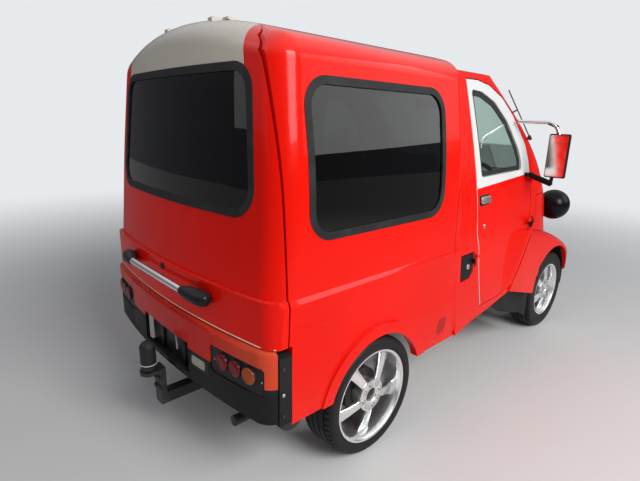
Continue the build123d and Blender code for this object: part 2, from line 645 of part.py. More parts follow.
front_z = FRONT_WHEEL[0]
arm = block((-STEER_AXIS_X - 22, -210), (FRONT_AXLE_Y - 34, FRONT_AXLE_Y + 34), (164, 184))
arm += block((-290, -210), (FRONT_AXLE_Y - 90, FRONT_AXLE_Y + 90), (164, RAIL_Z))
arm += Pos(-STEER_AXIS_X, FRONT_AXLE_Y, 174) * Cylinder(30, 20)
strut = Pos(-STEER_AXIS_X, FRONT_AXLE_Y, 0) * extrude(Pos(0, 0, 340) * Circle(24), 240)
save("front_suspension", both(Compound(children=[*(arm - ladder).solids(), *strut.solids()])))
knuckle = Pos(-STEER_AXIS_X, FRONT_AXLE_Y, 0) * extrude(Pos(0, 0, 186) * Circle(26), 152)
knuckle += tube_x(34, (-506, -STEER_AXIS_X), FRONT_AXLE_Y, front_z)
FRONT_HUB_FACE = 548
knuckle += tube_x(92, (-FRONT_HUB_FACE, -500), FRONT_AXLE_Y, front_z)
knuckle += tube_x(28, (-FRONT_HUB_FACE - 44, -FRONT_HUB_FACE), FRONT_AXLE_Y, front_z)
knuckle += block((-STEER_AXIS_X - 14, -STEER_AXIS_X + 30), (FRONT_AXLE_Y, FRONT_AXLE_Y + 120), (236, 256))
save("knuckle_right", knuckle)
save("knuckle_left", mirror(knuckle, about=Plane.YZ))


# Alloy wheels, each with the station of its disc: dish depth at the hub and at the rim, windows from
# an inner to an outer radius over an angle, slots through the spokes, and holes on the bolt circle
REAR_DISC = {"deep": 46, "shallow": 12, "inner": 74, "half_angle": 17, "slot_angle": 31, "slot_half": 3.6}
FRONT_DISC = {"deep": 34, "shallow": 10, "inner": 92, "half_angle": 16, "slot_angle": 36, "slot_half": 0}
BOLT_CIRCLE = 50


def polar(radius, degrees):
    angle = math.radians(degrees)
    return (radius * math.cos(angle), radius * math.sin(angle))


def window(inner, outer, low, high, corner):
    """A window between two radii and two angles, its corners rounded."""
    middle = (low + high) / 2
    face = make_face([
        Line(polar(inner, low), polar(outer, low)),
        ThreePointArc(polar(outer, low), polar(outer, middle), polar(outer, high)),
        Line(polar(outer, high), polar(inner, high)), Line(polar(inner, high), polar(inner, low)),
    ])
    return fillet(face.vertices(), corner)


def wheel_parts(spec, y, hub_face, disc_spec):
    """Tyre and alloy rim of one right-hand wheel."""
    radius, width, rim_radius, outer = spec
    seat = rim_radius - 10
    half = width / 2 - 4
    tread = make_face(Polyline(
        (-half + 6, seat), (half - 6, seat), (half - 6, rim_radius + 2), (width / 2, (radius + seat) / 2),
        (width / 2 - 4, radius - 16), (width / 2 - 20, radius), (-width / 2 + 20, radius),
        (-width / 2 + 4, radius - 16), (-width / 2, (radius + seat) / 2), (-half + 6, rim_radius + 2),
        close=True,
    ))
    barrel = make_face(Polyline(
        (-half, seat - 16), (-half + 22, seat - 16), (-half + 34, seat - 7), (half, seat - 7),
        (half, rim_radius), (half - 6, rim_radius), (half - 6, seat), (-half + 6, seat),
        (-half + 6, rim_radius), (-half, rim_radius), close=True,
    ))
    deep, shallow = disc_spec["deep"], disc_spec["shallow"]
    hub_depth = outer - hub_face - 1
    dish = make_face(Polyline(
        (-width / 2 + deep, 24), (-width / 2 + deep, 64), (-width / 2 + shallow + 16, seat - 44),
        (-width / 2 + shallow, seat - 3), (-width / 2 + shallow + 20, seat - 3),
        (-width / 2 + shallow + 36, seat - 44), (-width / 2 + hub_depth, 70), (-width / 2 + hub_depth, 24),
        close=True,
    ))
    at_wheel = Pos(width / 2 - outer, y, radius)
    tyre = at_wheel * revolve(tread, Axis.X)
    disc = revolve(dish, Axis.X)
    cutter = Plane(origin=(-width / 2 - 10, 0, 0), x_dir=(0, 1, 0), z_dir=(1, 0, 0))
    for turn in range(5):
        spoke = Rot(0, 0, turn * 72)
        outline = window(disc_spec["inner"], seat - 24, -disc_spec["half_angle"], disc_spec["half_angle"], 9)
        disc -= extrude(cutter * spoke * outline, width)
        if disc_spec["slot_half"]:
            low = disc_spec["slot_angle"] - disc_spec["slot_half"]
            high = disc_spec["slot_angle"] + disc_spec["slot_half"]
            disc -= extrude(cutter * spoke * window(104, seat - 28, low, high, 3), width)
        else:
            disc -= extrude(cutter * spoke * Pos(*polar(86, 36)) * Circle(11), width)
    for turn in range(8 if disc_spec["slot_half"] else 4):
        step = 45 if disc_spec["slot_half"] else 90
        hole = Pos(*polar(BOLT_CIRCLE, turn * step + 12)) * Circle(8)
        disc -= extrude(cutter * hole, 10 + deep + 12)
    rim = at_wheel * (revolve(barrel, Axis.X) + disc)
    rim -= tube_x(28.08, (-outer - 20, -hub_face + 60), y, radius)
    return tyre, rim


WHEELS = [
    ("front", FRONT_WHEEL, FRONT_AXLE_Y, FRONT_HUB_FACE, FRONT_DISC),
    ("rear", REAR_WHEEL, REAR_AXLE_Y, DRUM_FACE, REAR_DISC),
]
for end, spec, y, hub_face, disc_spec in WHEELS:
    tyre, rim = wheel_parts(spec, y, hub_face, disc_spec)
    for name, shape in ((f"tyre_{end}", tyre), (f"rim_{end}", rim)):
        save(f"{name}_right", shape)
        save(f"{name}_left", mirror(shape, about=Plane.YZ))

# Spare wheel on the nose
SPARE = (238, 122, 148, -1476, 725)
radius, width, rim_radius, face_y, spare_z = SPARE
spare_plane = Plane(origin=(0, face_y, spare_z), x_dir=(1, 0, 0), z_dir=(0, 1, 0))
spare_tyre = extrude(spare_plane * Circle(radius), width) - extrude(spare_plane * Circle(rim_radius - 8), width)
outer_edges = [e for e in spare_tyre.edges() if e.length > 6 * radius]
save("spare_tyre", fillet(outer_edges, 26))
spare_rim = extrude(spare_plane * Circle(rim_radius - 8), width)
spare_rim -= extrude(spare_plane * Circle(rim_radius - 14), width)
disc = extrude(spare_plane.offset(40) * Circle(rim_radius - 12), 12)
disc += extrude(spare_plane.offset(30) * Circle(60), 150)
spare_rim += disc - cab_outer
save("spare_rim", max(spare_rim.solids(), key=lambda solid: solid.volume))

# Doors: handed panels and glass, with the mirror stays and hinge leaves that ride on them
save("door_left", mirror(door_panel - door_glass, about=Plane.YZ))
save("door_glass_left", mirror(door_glass, about=Plane.YZ))
low, high = Vector(*HINGE_LOW), Vector(*HINGE_HIGH)
pin_dir = (high - low).normalized()
leaves, brackets = [], []
for pin in (low, high):
    leaves.append(bar(pin, pin + pin_dir * 26, 9))
    leaf = block((pin.X - 4, pin.X + 60), (pin.Y + 2, pin.Y + 46), (pin.Z + 4, pin.Z + 24)) - cab_outer
    leaves.append(max(leaf.solids(), key=lambda solid: solid.volume))
    bracket = bar(pin - pin_dir * 27, pin - pin_dir * 1, 9)
    bracket += block((pin.X - 6, pin.X + 8), (pin.Y - 60, pin.Y), (pin.Z - 24, pin.Z - 6))
    foot = block((pin.X - 6, pin.X + 60), (pin.Y - 62, pin.Y - 38), (pin.Z - 24, pin.Z - 6)) - cab_outer
    brackets.append(bracket + max(foot.solids(), key=lambda solid: solid.volume))
hinge_leaves = leaves[0] + leaves[1]
upper_leaf = leaves[2] + leaves[3]
save("hinge_brackets", both(Compound(children=[s for b in brackets for s in b.solids()])))
mirror_head = fillet(block((-820, -715), (-471, -449), (1085, 1310)).edges(), 9)
stay = bar((-560, -405, 1368), (-700, -446, 1366), 9) + Pos(-700, -446, 1366) * Sphere(9)
stay += bar((-700, -446, 1366), (-745, -458, 1345), 9) + Pos(-745, -458, 1345) * Sphere(9)
stay += bar((-745, -458, 1345), (-760, -460, 1302), 9)
lower_arm = bar((-628, -505, 1082), (-752, -464, 1052), 11) + Pos(-752, -464, 1052) * Sphere(11)
lower_arm += bar((-752, -464, 1052), (-757, -460, 1095), 9)
mirror_set = (mirror_head + stay + lower_arm + upper_leaf) - cab_outer
fittings = Compound(children=[*mirror_set.solids(), *hinge_leaves.solids()])
save("mirror_right", fittings)
save("mirror_left", mirror(fittings, about=Plane.YZ))

# Tailgate fittings and the small pieces on the body
cup = bar((217.64, 1387.38, 746), (358.36, 1358.62, 744), 27)
cup = fillet(cup.edges().filter_by(GeomType.CIRCLE), 26)
half_grab = bar((0, 1393, 752), (240, 1393, 752), 14) + cup
half_grab = max((half_grab - box_outer - gate_wall).solids(), key=lambda solid: solid.volume)
save("grab_bar", half_grab + mirror(half_grab, about=Plane.YZ))

# Fuel lid in the panel behind the right-hand door, its pocket and filler cap
FUEL_HINGE = (-650, 55, 700)
lid_region = prism_yz(make_face(Polyline(*FUEL_LID, close=True)), right_side)
fuel_lid = (cab_solid(0) - cab_solid(8)) & lid_region
fuel_lid += bar((FUEL_HINGE[0], FUEL_HINGE[1], 690), (FUEL_HINGE[0], FUEL_HINGE[1], 712), 4)
fuel_lid += block((-654, -646), (55, 75), (690, 712)) - cab_outer
fuel_lid += block((-654, -630), (66, 75), (690, 712)) - cab_outer
save("fuel_lid", max(fuel_lid.solids(), key=lambda solid: solid.volume))
pocket = block((-612, -560), (44, 187), (604, 750)) - block((-700, -566), (50, 181), (610, 744))
pocket += bar((-568, 116, 678), (-596, 116, 678), 34) + bar((-590, 116, 678), (-612, 116, 678), 42)
save("fuel_filler", max((pocket - cab_wall).solids(), key=lambda solid: solid.volume))

# Aerial on the right-hand windscreen pillar: a mast on a knob and one clip, each foot square to the skin
AERIAL_LOW, AERIAL_HIGH = Vector(-574, -556, 1281), Vector(-526, -326, 1524)
AERIAL_FOOT, CLIP_FOOT = (-559.4, -553.6, 1275.7), (-524.3, -410.6, 1415.2)
mast_dir = (AERIAL_HIGH - AERIAL_LOW).normalized()
aerial = bar(AERIAL_LOW, AERIAL_HIGH, 3) + bar(AERIAL_LOW - mast_dir * 9, AERIAL_LOW + mast_dir * 14, 9)
aerial += bar(AERIAL_LOW, AERIAL_FOOT, 7) + bar((-545, -417, 1428), CLIP_FOOT, 4)
save("aerial", aerial)
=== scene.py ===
import math

import bmesh
import bpy
from mathutils import Matrix, Vector
from mathutils.bvhtree import BVHTree


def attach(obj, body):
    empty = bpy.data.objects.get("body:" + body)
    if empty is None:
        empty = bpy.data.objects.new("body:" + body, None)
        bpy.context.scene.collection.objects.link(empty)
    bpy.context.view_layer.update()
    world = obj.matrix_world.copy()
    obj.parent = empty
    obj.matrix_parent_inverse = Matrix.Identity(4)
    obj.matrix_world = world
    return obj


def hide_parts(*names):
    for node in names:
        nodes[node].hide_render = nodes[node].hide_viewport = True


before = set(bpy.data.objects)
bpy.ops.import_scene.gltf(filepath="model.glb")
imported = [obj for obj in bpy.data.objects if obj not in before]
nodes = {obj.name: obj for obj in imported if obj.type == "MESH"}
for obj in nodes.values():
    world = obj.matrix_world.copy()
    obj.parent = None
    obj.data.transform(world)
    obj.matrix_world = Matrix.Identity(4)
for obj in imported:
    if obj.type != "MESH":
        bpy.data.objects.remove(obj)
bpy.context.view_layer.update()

scene = bpy.context.scene

# Camera
# The photograph looks a little down at the rear right corner, from close by and about chest height,
# so the tailgate and the whole right side show and the roof is seen edge on.
CAMERA_AT = Vector((-1.6521, 2.0669, 1.3498))
YAW, PITCH, ROLL = (math.radians(angle) for angle in (133.44, 15.01, 1.38))
FOCAL_LENGTH_PX = 448.5
IMAGE_WIDTH_PX = 640

forward = Vector((
    math.sin(YAW) * math.cos(PITCH),
    math.cos(YAW) * math.cos(PITCH),
    -math.sin(PITCH),
))
level_right = forward.cross(Vector((0, 0, 1))).normalized()
level_up = level_right.cross(forward)
right = math.cos(ROLL) * level_right + math.sin(ROLL) * level_up
up = -math.sin(ROLL) * level_right + math.cos(ROLL) * level_up
camera_data = bpy.data.cameras.new("camera")
camera_data.sensor_width = 36
camera_data.lens = FOCAL_LENGTH_PX / IMAGE_WIDTH_PX * camera_data.sensor_width
camera_data.clip_start = 0.05
camera = bpy.data.objects.new("camera", camera_data)
camera.matrix_world = Matrix.Translation(CAMERA_AT) @ Matrix((right, up, -forward)).transposed().to_4x4()
scene.collection.objects.link(camera)
scene.camera = camera


# Ladder frame, axle, springs and front suspension
# Two welded steel rails with cross-members carry everything else. They are dipped in black chassis
# paint, gone brown in patches with dust and rust.
class Value:
    """A shader value: arithmetic on it adds Math nodes, and node() adds any other node."""

    def __init__(self, tree, source):
        self.tree = tree
        self.source = source

    def feed(self, socket, value):
        """Link a value to a socket, or set the socket to a number or to a colour of three numbers."""
        if isinstance(value, Value):
            self.tree.links.new(value.source, socket)
        else:
            socket.default_value = (*value, 1.0) if isinstance(value, tuple) else value

    def node(self, kind, settings=None, **inputs):
        """Add a node; an input is named by its label in lower case, with _ for a space."""
        made = self.tree.nodes.new("ShaderNode" + kind)
        for name, setting in (settings or {}).items():
            setattr(made, name, setting)
        for name, value in inputs.items():
            sockets = [s for s in made.inputs if s.name.lower().replace(" ", "_") == name and s.enabled]
            self.feed(sockets[0], value)
        return Value(self.tree, made.outputs[0])

    def math(self, operation, *others):
        made = self.tree.nodes.new("ShaderNodeMath")
        made.operation = operation
        for socket, value in zip(made.inputs, (self, *others)):
            self.feed(socket, value)
        return Value(self.tree, made.outputs[0])

    def __add__(self, other):
        return self.math("ADD", other)

    def __mul__(self, other):
        return self.math("MULTIPLY", other)

    __radd__ = __add__
    __rmul__ = __mul__

    def __sub__(self, other):
        return self.math("SUBTRACT", other)

    def __rsub__(self, other):
        return self.math("MULTIPLY_ADD", -1.0, other)

    def ramp(self, low, high):
        """0 below low, 1 above high, smooth between."""
        return self.node(
            "MapRange", settings={"interpolation_type": "SMOOTHSTEP"},
            value=self, from_min=low, from_max=high, to_min=0.0, to_max=1.0,
        )

    def size(self):
        """The value without its sign."""
        return self.math("ABSOLUTE")

    def mix(self, first, second):
        """The first colour where this value is 0, the second where it is 1."""
        made = self.tree.nodes.new("ShaderNodeMix")
        made.data_type = "RGBA"
        self.feed(made.inputs[0], self)
        self.feed(made.inputs[6], first)
        self.feed(made.inputs[7], second)
        return Value(self.tree, made.outputs[2])


def finish_of(name, specular=0.5):
    """A new material: its surface shader, and the place on the object as a vector and as x, y, z."""
    material = bpy.data.materials.new(name)
    material.use_nodes = True
    tree = material.node_tree
    shader = tree.nodes["Principled BSDF"]
    shader.inputs["Specular IOR Level"].default_value = specular
    place = Value(tree, tree.nodes.new("ShaderNodeTexCoord").outputs["Object"])
    parts = tree.nodes.new("ShaderNodeSeparateXYZ")
    tree.links.new(place.source, parts.inputs[0])
    x, y, z = (Value(tree, output) for output in parts.outputs)
    return material, shader, place, (x, y, z)


def noise(place, scale, detail):
    """Cloudy noise from 0 to 1, of a scale per metre."""
    return place.node("TexNoise", vector=place, scale=scale, detail=detail)


def bump(place, shader, height, distance, strength=1.0):
    """Relief from a height value, with its depth in metres."""
    normal = place.node("Bump", height=height, distance=distance, strength=strength)
    place.feed(shader.inputs["Normal"], normal)


def facing_up(place):
    """1 on a surface that faces the sky, 0 on one that stands upright."""
    geometry = place.tree.nodes.new("ShaderNodeNewGeometry")
    parts = place.tree.nodes.new("ShaderNodeSeparateXYZ")
    place.tree.links.new(geometry.outputs["Normal"], parts.inputs[0])
    return Value(place.tree, parts.outputs[2])


def metal(name, colour, rough=0.35, stain=(0.12, 0.09, 0.07), stained=0.4, metallic=1.0, grain=180.0):
    """Bare or painted metal: a base tone, stains where dirt or rust gathers, and a fine grain."""
    material, shader, place, _ = finish_of(name)
    blotch = noise(place, 22.0, 6.0).ramp(0.45, 0.78) * stained
    fine = noise(place, grain, 4.0)
    place.feed(shader.inputs["Base Color"], blotch.mix(colour, stain))
    place.feed(shader.inputs["Roughness"], rough + 0.2 * fine + 0.3 * blotch)
    if metallic:
        place.feed(shader.inputs["Metallic"], metallic - blotch * 0.7 * metallic)
    bump(place, shader, fine, 0.0002, 0.4)
    return material


def dress(material, *names):
    """Give CAD nodes their finish."""
    for name in names:
        nodes[name].data.materials.clear()
        nodes[name].data.materials.append(material)


chassis_black = metal("chassis_black", (0.015, 0.014, 0.014), 0.55, (0.1, 0.06, 0.035), 0.7, 0.0)
dress(chassis_black, "ladder_frame", "rear_axle", "leaf_springs", "front_suspension")

# Engine, hubs, exhaust and fuel tank
# The cast engine block sits under the seats and drives the rear axle; its exhaust runs back to a
# silencer across the tail, and the tank hangs on the left-hand rail.
iron = metal("iron", (0.09, 0.08, 0.075), 0.5, (0.16, 0.07, 0.035), 0.8, 0.6)
dress(iron, "engine", "knuckle_right", "knuckle_left")
heat_steel = metal("heat_steel", (0.020, 0.019, 0.018), 0.5, (0.06, 0.035, 0.022), 0.35, 0.0)
dress(heat_steel, "exhaust")


def plastic(name, colour, grain=420.0, gloss=0.45, depth=0.0003, bleach=0.5):
    """Moulded plastic: a fine leather grain, bleached where the weather reaches it."""
    material, shader, place, _ = finish_of(name, 0.14)
    cloud = noise(place, 7.0, 5.0).ramp(0.35, 0.75)
    faded = tuple(c * 1.6 + 0.015 for c in colour)
    weather = cloud * bleach + facing_up(place).ramp(0.1, 0.9) * bleach * 0.8
    place.feed(shader.inputs["Base Color"], weather.mix(colour, faded))
    place.feed(shader.inputs["Roughness"], gloss + 0.22 * cloud)
    relief = place.node("TexVoronoi", vector=place, scale=grain)
    bump(place, shader, relief, depth, 0.6)
    return material


tank_black = plastic("tank_black", (0.014, 0.014, 0.015), grain=300.0, gloss=0.5)
dress(tank_black, "fuel_tank", "fuel_filler")

# Road wheels
# Rubber tyres with cut grooves and shoulder blocks on cast alloy rims: five scooped spokes run from
# a proud hub back to a deep polished barrel, and four nuts sit in a ring of eight drilled wells.
WHEELS = [
    # end, axle y, axle z, tyre radius, width, rim radius, outer face
    ("front", -1.060, 0.264, 0.264, 0.145, 0.179, 0.621),
    ("rear", 0.780, 0.256, 0.256, 0.165, 0.201, 0.640),
]


def rubber(name, colour=(0.014, 0.014, 0.015), worn=0.5):
    """Black rubber, grey where it is scuffed and dusty."""
    material, shader, place, _ = finish_of(name, 0.25)
    patch = noise(place, 14.0, 6.0).ramp(0.42, 0.8)
    grey = tuple(c * 3.2 + 0.012 for c in colour)
    place.feed(shader.inputs["Base Color"], (patch * worn).mix(colour, grey))
    place.feed(shader.inputs["Roughness"], 0.52 + 0.25 * patch)
    bump(place, shader, noise(place, 300.0, 5.0), 0.0003, 0.5)
    return material


def piece(name, mesh, material, body, sharp=40):
    """Close and smooth a finished mesh, and fix it to a body of the vehicle."""
    bmesh.ops.remove_doubles(mesh, verts=mesh.verts, dist=1e-6)
    bmesh.ops.recalc_face_normals(mesh, faces=mesh.faces)
    data = bpy.data.meshes.new(name)
    mesh.to_mesh(data)
    mesh.free()
    data.materials.append(material)
    data.polygons.foreach_set("use_smooth", [True] * len(data.polygons))
    data.set_sharp_from_angle(angle=math.radians(sharp))
    made = bpy.data.objects.new(name, data)
    scene.collection.objects.link(made)
    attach(made, body)
    return made


def moved(mesh, matrix):
    """The mesh, carried to its place."""
    bmesh.ops.transform(mesh, matrix=matrix, verts=mesh.verts)
    return mesh


def turned(mesh, profile, steps, closed=False):
    """Spin a profile of (along X, radius) pairs round the X axis."""
    ring = [mesh.verts.new((along, 0, radius)) for along, radius in profile]
    pairs = list(zip(ring, ring[1:]))
    if closed:
        pairs.append((ring[-1], ring[0]))
    edges = [mesh.edges.new(pair) for pair in pairs]
    bmesh.ops.spin(
        mesh, geom=ring + edges, cent=(0, 0, 0), axis=(1, 0, 0), angle=math.tau, steps=steps, use_merge=True,
    )
    bmesh.ops.remove_doubles(mesh, verts=mesh.verts, dist=1e-6)


def tyre_mesh(radius, width, rim_radius, steps):
    """A tyre about the X axis: round sidewalls, four grooves, and blocks cut into its shoulders."""
    groove_shares = (0.58, 0.2)
    groove_half = 0.0036
    groove_depth = 0.007
    block_pitch = 3
    half, seat = width / 2, rim_radius - 0.010
    bead = half - 0.010
    wall = radius - rim_radius
    side = [
        (bead, seat), (bead, rim_radius + 0.002), (half - 0.0035, rim_radius + 0.006),
        (half - 0.0025, rim_radius + 0.009), (half - 0.0012, rim_radius + wall * 0.3),
        (half, rim_radius + wall * 0.5), (half - 0.0008, rim_radius + wall * 0.62),
        (half - 0.0022, rim_radius + wall * 0.7), (half - 0.0014, rim_radius + wall * 0.72),
        (half - 0.004, radius - 0.013), (half - 0.009, radius - 0.006),
    ]
    shoulder = (half - 0.017, radius - 0.0016)
    crown = []
    for share in groove_shares:
        centre = share * half
        crown += [
            (centre + groove_half, radius), (centre + groove_half - 0.001, radius - groove_depth),
            (centre - groove_half + 0.001, radius - groove_depth), (centre - groove_half, radius),
        ]
    one_side = side + [shoulder] + crown
    profile = one_side + [(-along, r) for along, r in reversed(one_side)]
    mesh = bmesh.new()
    turned(mesh, profile, steps, closed=True)
    outer_groove = groove_shares[0] * half + groove_half
    for sign in (-1, 1):
        blocks = []
        for face in mesh.faces:
            middle = face.calc_center_median()
            reach = math.hypot(middle.y, middle.z)
            if reach > radius - groove_depth and outer_groove < middle.x * sign < half - 0.004:
                step = math.floor(math.atan2(middle.z, middle.y) / math.tau * steps + 1e-4)
                if step % block_pitch == 0:
                    blocks.append(face)
        bmesh.ops.inset_region(mesh, faces=blocks, thickness=0.0022, use_boundary=True, use_even_offset=True)
        for vertex in {v for face in blocks for v in face.verts}:
            share = 1 - 0.0045 / math.hypot(vertex.co.y, vertex.co.z)
            vertex.co.y *= share
            vertex.co.z *= share
    return mesh


def alloy(name, centre_y, centre_z, rim_radius, colour, metallic):
    """Cast alloy: machined in fine rings, bright, with brown dust in the corners round the hub."""
    material, shader, place, (_, y, z) = finish_of(name)
    dy, dz = y - centre_y, z - centre_z
    reach = (dy * dy + dz * dz).math("SQRT")
    rings = (reach * 2400.0).math("SINE")
    cloud = noise(place, 30.0, 5.0)
    near_hub = 1 - reach.ramp(0.04, 0.6 * rim_radius)
    dust = cloud.ramp(0.42, 0.8) * near_hub * 0.8 + cloud.ramp(0.6, 0.9) * 0.12
    place.feed(shader.inputs["Base Color"], dust.mix(colour, (0.12, 0.10, 0.08)))
    place.feed(shader.inputs["Metallic"], metallic - 0.6 * dust)
    place.feed(shader.inputs["Roughness"], 0.26 + 0.35 * dust)
    bump(place, shader, rings, 0.00004, 0.4)
    return material


def rim_barrel(radius, width):
    """The barrel of a rim from its outer lip inwards, closed all round."""
    back = width - 0.008
    mesh = bmesh.new()
    turned(mesh, [
        (-0.0005, radius), (0.0, radius - 0.004), (-0.002, radius - 0.0085), (-0.008, radius - 0.0125),
        (-0.030, radius - 0.0155), (-0.075, radius - 0.023), (-0.110, radius - 0.018),
        (-back, radius - 0.0165), (-back, radius), (-back + 0.006, radius), (-back + 0.006, radius - 0.0095),
        (-0.0065, radius - 0.0095), (-0.0065, radius),
    ], 120, closed=True)
    return mesh


def spoke(mesh, phase, radius, narrow, wide, deep, scoop):
    """One spoke from the hub to the barrel: it widens outwards, sinks inwards and is scooped."""
    start, end = 0.058, radius - 0.014
    shallow = 0.0125
    made_before = len(mesh.faces)
    net = bmesh.ops.create_grid(mesh, x_segments=9, y_segments=5, size=0.5)["verts"]
    for vertex in net:
        share, across = vertex.co.x + 0.5, vertex.co.y * 2
        reach = start + (end - start) * share
        half = narrow + (wide - narrow) * share ** 1.7
        angle = phase + across * half / reach
        sink = shallow + (deep - shallow) * share ** 1.25 + scoop * (1 - across * across) * share
        vertex.co = (-sink, reach * math.cos(angle), reach * math.sin(angle))
    mesh.faces.ensure_lookup_table()
    faces = mesh.faces[made_before:]
    bmesh.ops.recalc_face_normals(mesh, faces=faces)
    if faces[0].normal.x < 0:
        bmesh.ops.reverse_faces(mesh, faces=faces)
    bmesh.ops.solidify(mesh, geom=faces, thickness=0.017)


tyre_black = rubber("tyre_black", (0.009, 0.009, 0.009), 0.25)
zinc = metal("zinc", (0.55, 0.54, 0.52), 0.28, (0.16, 0.12, 0.09), 0.4)
cap_black = plastic("cap_black", (0.014, 0.014, 0.016), grain=700.0, gloss=0.3)
well_brown = metal("well_brown", (0.020, 0.015, 0.012), 0.75, (0.05, 0.035, 0.025), 0.6, 0.0)
ALLOYS = {
    # end: colour, metallic
    "front": ((0.80, 0.81, 0.82), 0.75),
    "rear": ((0.88, 0.88, 0.88), 0.95),
}
SPOKES = {
    # end: first spoke's angle, half width at the hub and at the barrel, depth at the barrel, scoop
    "front": (38, 0.022, 0.036, 0.036, 0.004),
    "rear": (54, 0.019, 0.036, 0.046, -0.006),
}
HUB = [
    (-0.066, 0.0286), (-0.066, 0.060), (-0.030, 0.066), (-0.016, 0.0705), (-0.0105, 0.0690),
    (-0.0085, 0.0655), (-0.0085, 0.0400), (-0.0095, 0.0375), (-0.0095, 0.0330), (-0.012, 0.0305),
    (-0.016, 0.0286),
]
WELL = [(-0.003, 0), (-0.003, 0.0098), (0.0006, 0.0098), (0.0006, 0.0088), (-0.0012, 0.0082), (-0.0015, 0)]
NUT = [(-0.004, 0), (-0.004, 0.0074), (0.003, 0.0074), (0.0058, 0.006), (0.0066, 0.003), (0.0068, 0)]
SPOKE_COUNT = 5
FACE_INSET = 0.004
HUB_FACE = -0.0085
WELL_CIRCLE = 0.0515
FIRST_WELL = 0.21
HANDS = (("right", -1), ("left", 1))
for end, axle_y, axle_z, radius, width, rim_radius, outer in WHEELS:
    cast = alloy(f"alloy_{end}", axle_y, axle_z, rim_radius, *ALLOYS[end])
    first, narrow, wide, deep, scoop = SPOKES[end]
    for hand, sign in HANDS:
        body = f"wheel_{end}_{hand}"
        place_tyre = Matrix.Translation((sign * (outer - width / 2), axle_y, axle_z))
        mesh = moved(tyre_mesh(radius, width, rim_radius, 180), place_tyre)
        tyre = piece(f"road_tyre_{end}_{hand}", mesh, tyre_black, body)
        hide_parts(f"tyre_{end}_{hand}")

        facing = Matrix.Rotation(math.pi if sign < 0 else 0, 4, "Z")
        at_face = Matrix.Translation((sign * (outer - FACE_INSET), axle_y, axle_z)) @ facing
        mesh = moved(rim_barrel(rim_radius, width), at_face)
        barrel = piece(f"rim_barrel_{end}_{hand}", mesh, cast, body)
        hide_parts(f"rim_{end}_{hand}")
        mesh = bmesh.new()
        for turn in range(SPOKE_COUNT):
            angle = math.radians(first + turn * 360 / SPOKE_COUNT)
            phase = angle if sign > 0 else math.pi - angle
            spoke(mesh, phase, rim_radius, narrow, wide, deep, scoop)
        spokes = piece(f"rim_spokes_{end}_{hand}", moved(mesh, at_face), cast, body, 60)
        rounded = spokes.modifiers.new("rounded", "SUBSURF")
        rounded.levels = 2
        rounded.render_levels = 2
        mesh = bmesh.new()
        turned(mesh, HUB, 96, closed=True)
        piece(f"rim_hub_{end}_{hand}", moved(mesh, at_face), cast, body)
        for kind, count, profile, sides, finish in (
            ("well", 8, WELL, 24, well_brown),
            ("nut", 4, NUT, 6, zinc),
        ):
            mesh = bmesh.new()
            for turn in range(count):
                angle = math.tau * turn / count + FIRST_WELL
                part = bmesh.new()
                turned(part, profile, sides)
                spot = (HUB_FACE, WELL_CIRCLE * math.cos(angle), WELL_CIRCLE * math.sin(angle))
                shape = bpy.data.meshes.new(kind)
                moved(part, at_face @ Matrix.Translation(spot)).to_mesh(shape)
                part.free()
                mesh.from_mesh(shape)
                bpy.data.meshes.remove(shape)
            piece(f"wheel_{kind}s_{end}_{hand}", mesh, finish, body, 25)


# Floors of the cab and the load space
# Pressed steel sheet painted in a dull, darker red than the body, and dusty all over.
def paint(name, colour, dusty=0.12, pale=None, pale_colour=(0.66, 0.61, 0.52), creases=()):
    """Body paint: dust on what faces up, road film that thickens downwards, and a faint orange peel.
    pale gives the part painted in a second colour, and creases are lines pressed in the sheet."""
    material, shader, place, (x, y, z) = finish_of(name, 0.08)
    cloud = noise(place, 3.0, 5.0)
    fine = noise(place, 60.0, 4.0)
    up_dust = facing_up(place).ramp(0.35, 1.0) * cloud.ramp(0.3, 0.75) * dusty
    film = (0.62 - z).ramp(0.0, 0.5) * (0.35 + 0.65 * cloud) * dusty
    dust = (up_dust + film) * (0.6 + 0.5 * fine)
    shade = noise(place, 1.6, 2.0).ramp(0.3, 0.7)
    darker = tuple(c * 0.9 for c in colour)
    base = shade.mix(darker, colour)
    if pale:
        grime = noise(place, 4.0, 6.0).ramp(0.4, 0.85) * 0.35
        grimy = tuple(c * 0.72 for c in pale_colour)
        base = pale(x, y, z).mix(base, grime.mix(pale_colour, grimy))
    place.feed(shader.inputs["Base Color"], dust.mix(base, (0.42, 0.34, 0.27)))
    place.feed(shader.inputs["Roughness"], 0.2 + 0.1 * fine + 0.4 * dust)
    # The clear coat is made heavier on faces that look up: a painted sheen, so the roof and the flank ledges
    # mirror more sky as bright highlight bands.
    place.feed(shader.inputs["Coat Weight"], 0.1 + 0.8 * facing_up(place).ramp(0.1, 0.5))
    shader.inputs["Coat Roughness"].default_value = 0.04
    relief = noise(place, 420.0, 1.0) * 0.1
    for (y0, z0), (y1, z1) in creases:
        slope = (z1 - z0) / (y1 - y0)
        off = (z - (z0 + (y - y0) * slope)).size()
        run = (y - y0).ramp(0.0, 0.03) * (y1 - y).ramp(0.0, 0.03)
        relief = relief + (1 - off.ramp(0.0, 0.0035)) * run
    bump(place, shader, relief, 0.0012, 0.8)
    return material


RED = (0.85, 0.007, 0.0015)
floor_red = paint("floor_red", (0.3, 0.02, 0.012), 0.8)
dress(floor_red, "load_floor", "cab_floor")


# Load box
# The tall box behind the cab is moulded in one with its roof. Two shallow creases run along each
# flank from the tail and from the cab, and the roof's middle is cream between red shoulders.
SHOULDER_X = 0.443
SHOULDER_Z = 1.483
SHOULDER_LEAN = 0.163


def cream_above(level):
    """The cream panel between the two red shoulders, from a level upwards."""
    def panel(x, y, z):
        shoulder = SHOULDER_X - (z - SHOULDER_Z) * SHOULDER_LEAN
        return (shoulder - x.size()).ramp(-0.0005, 0.0005) * (z - level).ramp(0.0, 0.001)

    return panel


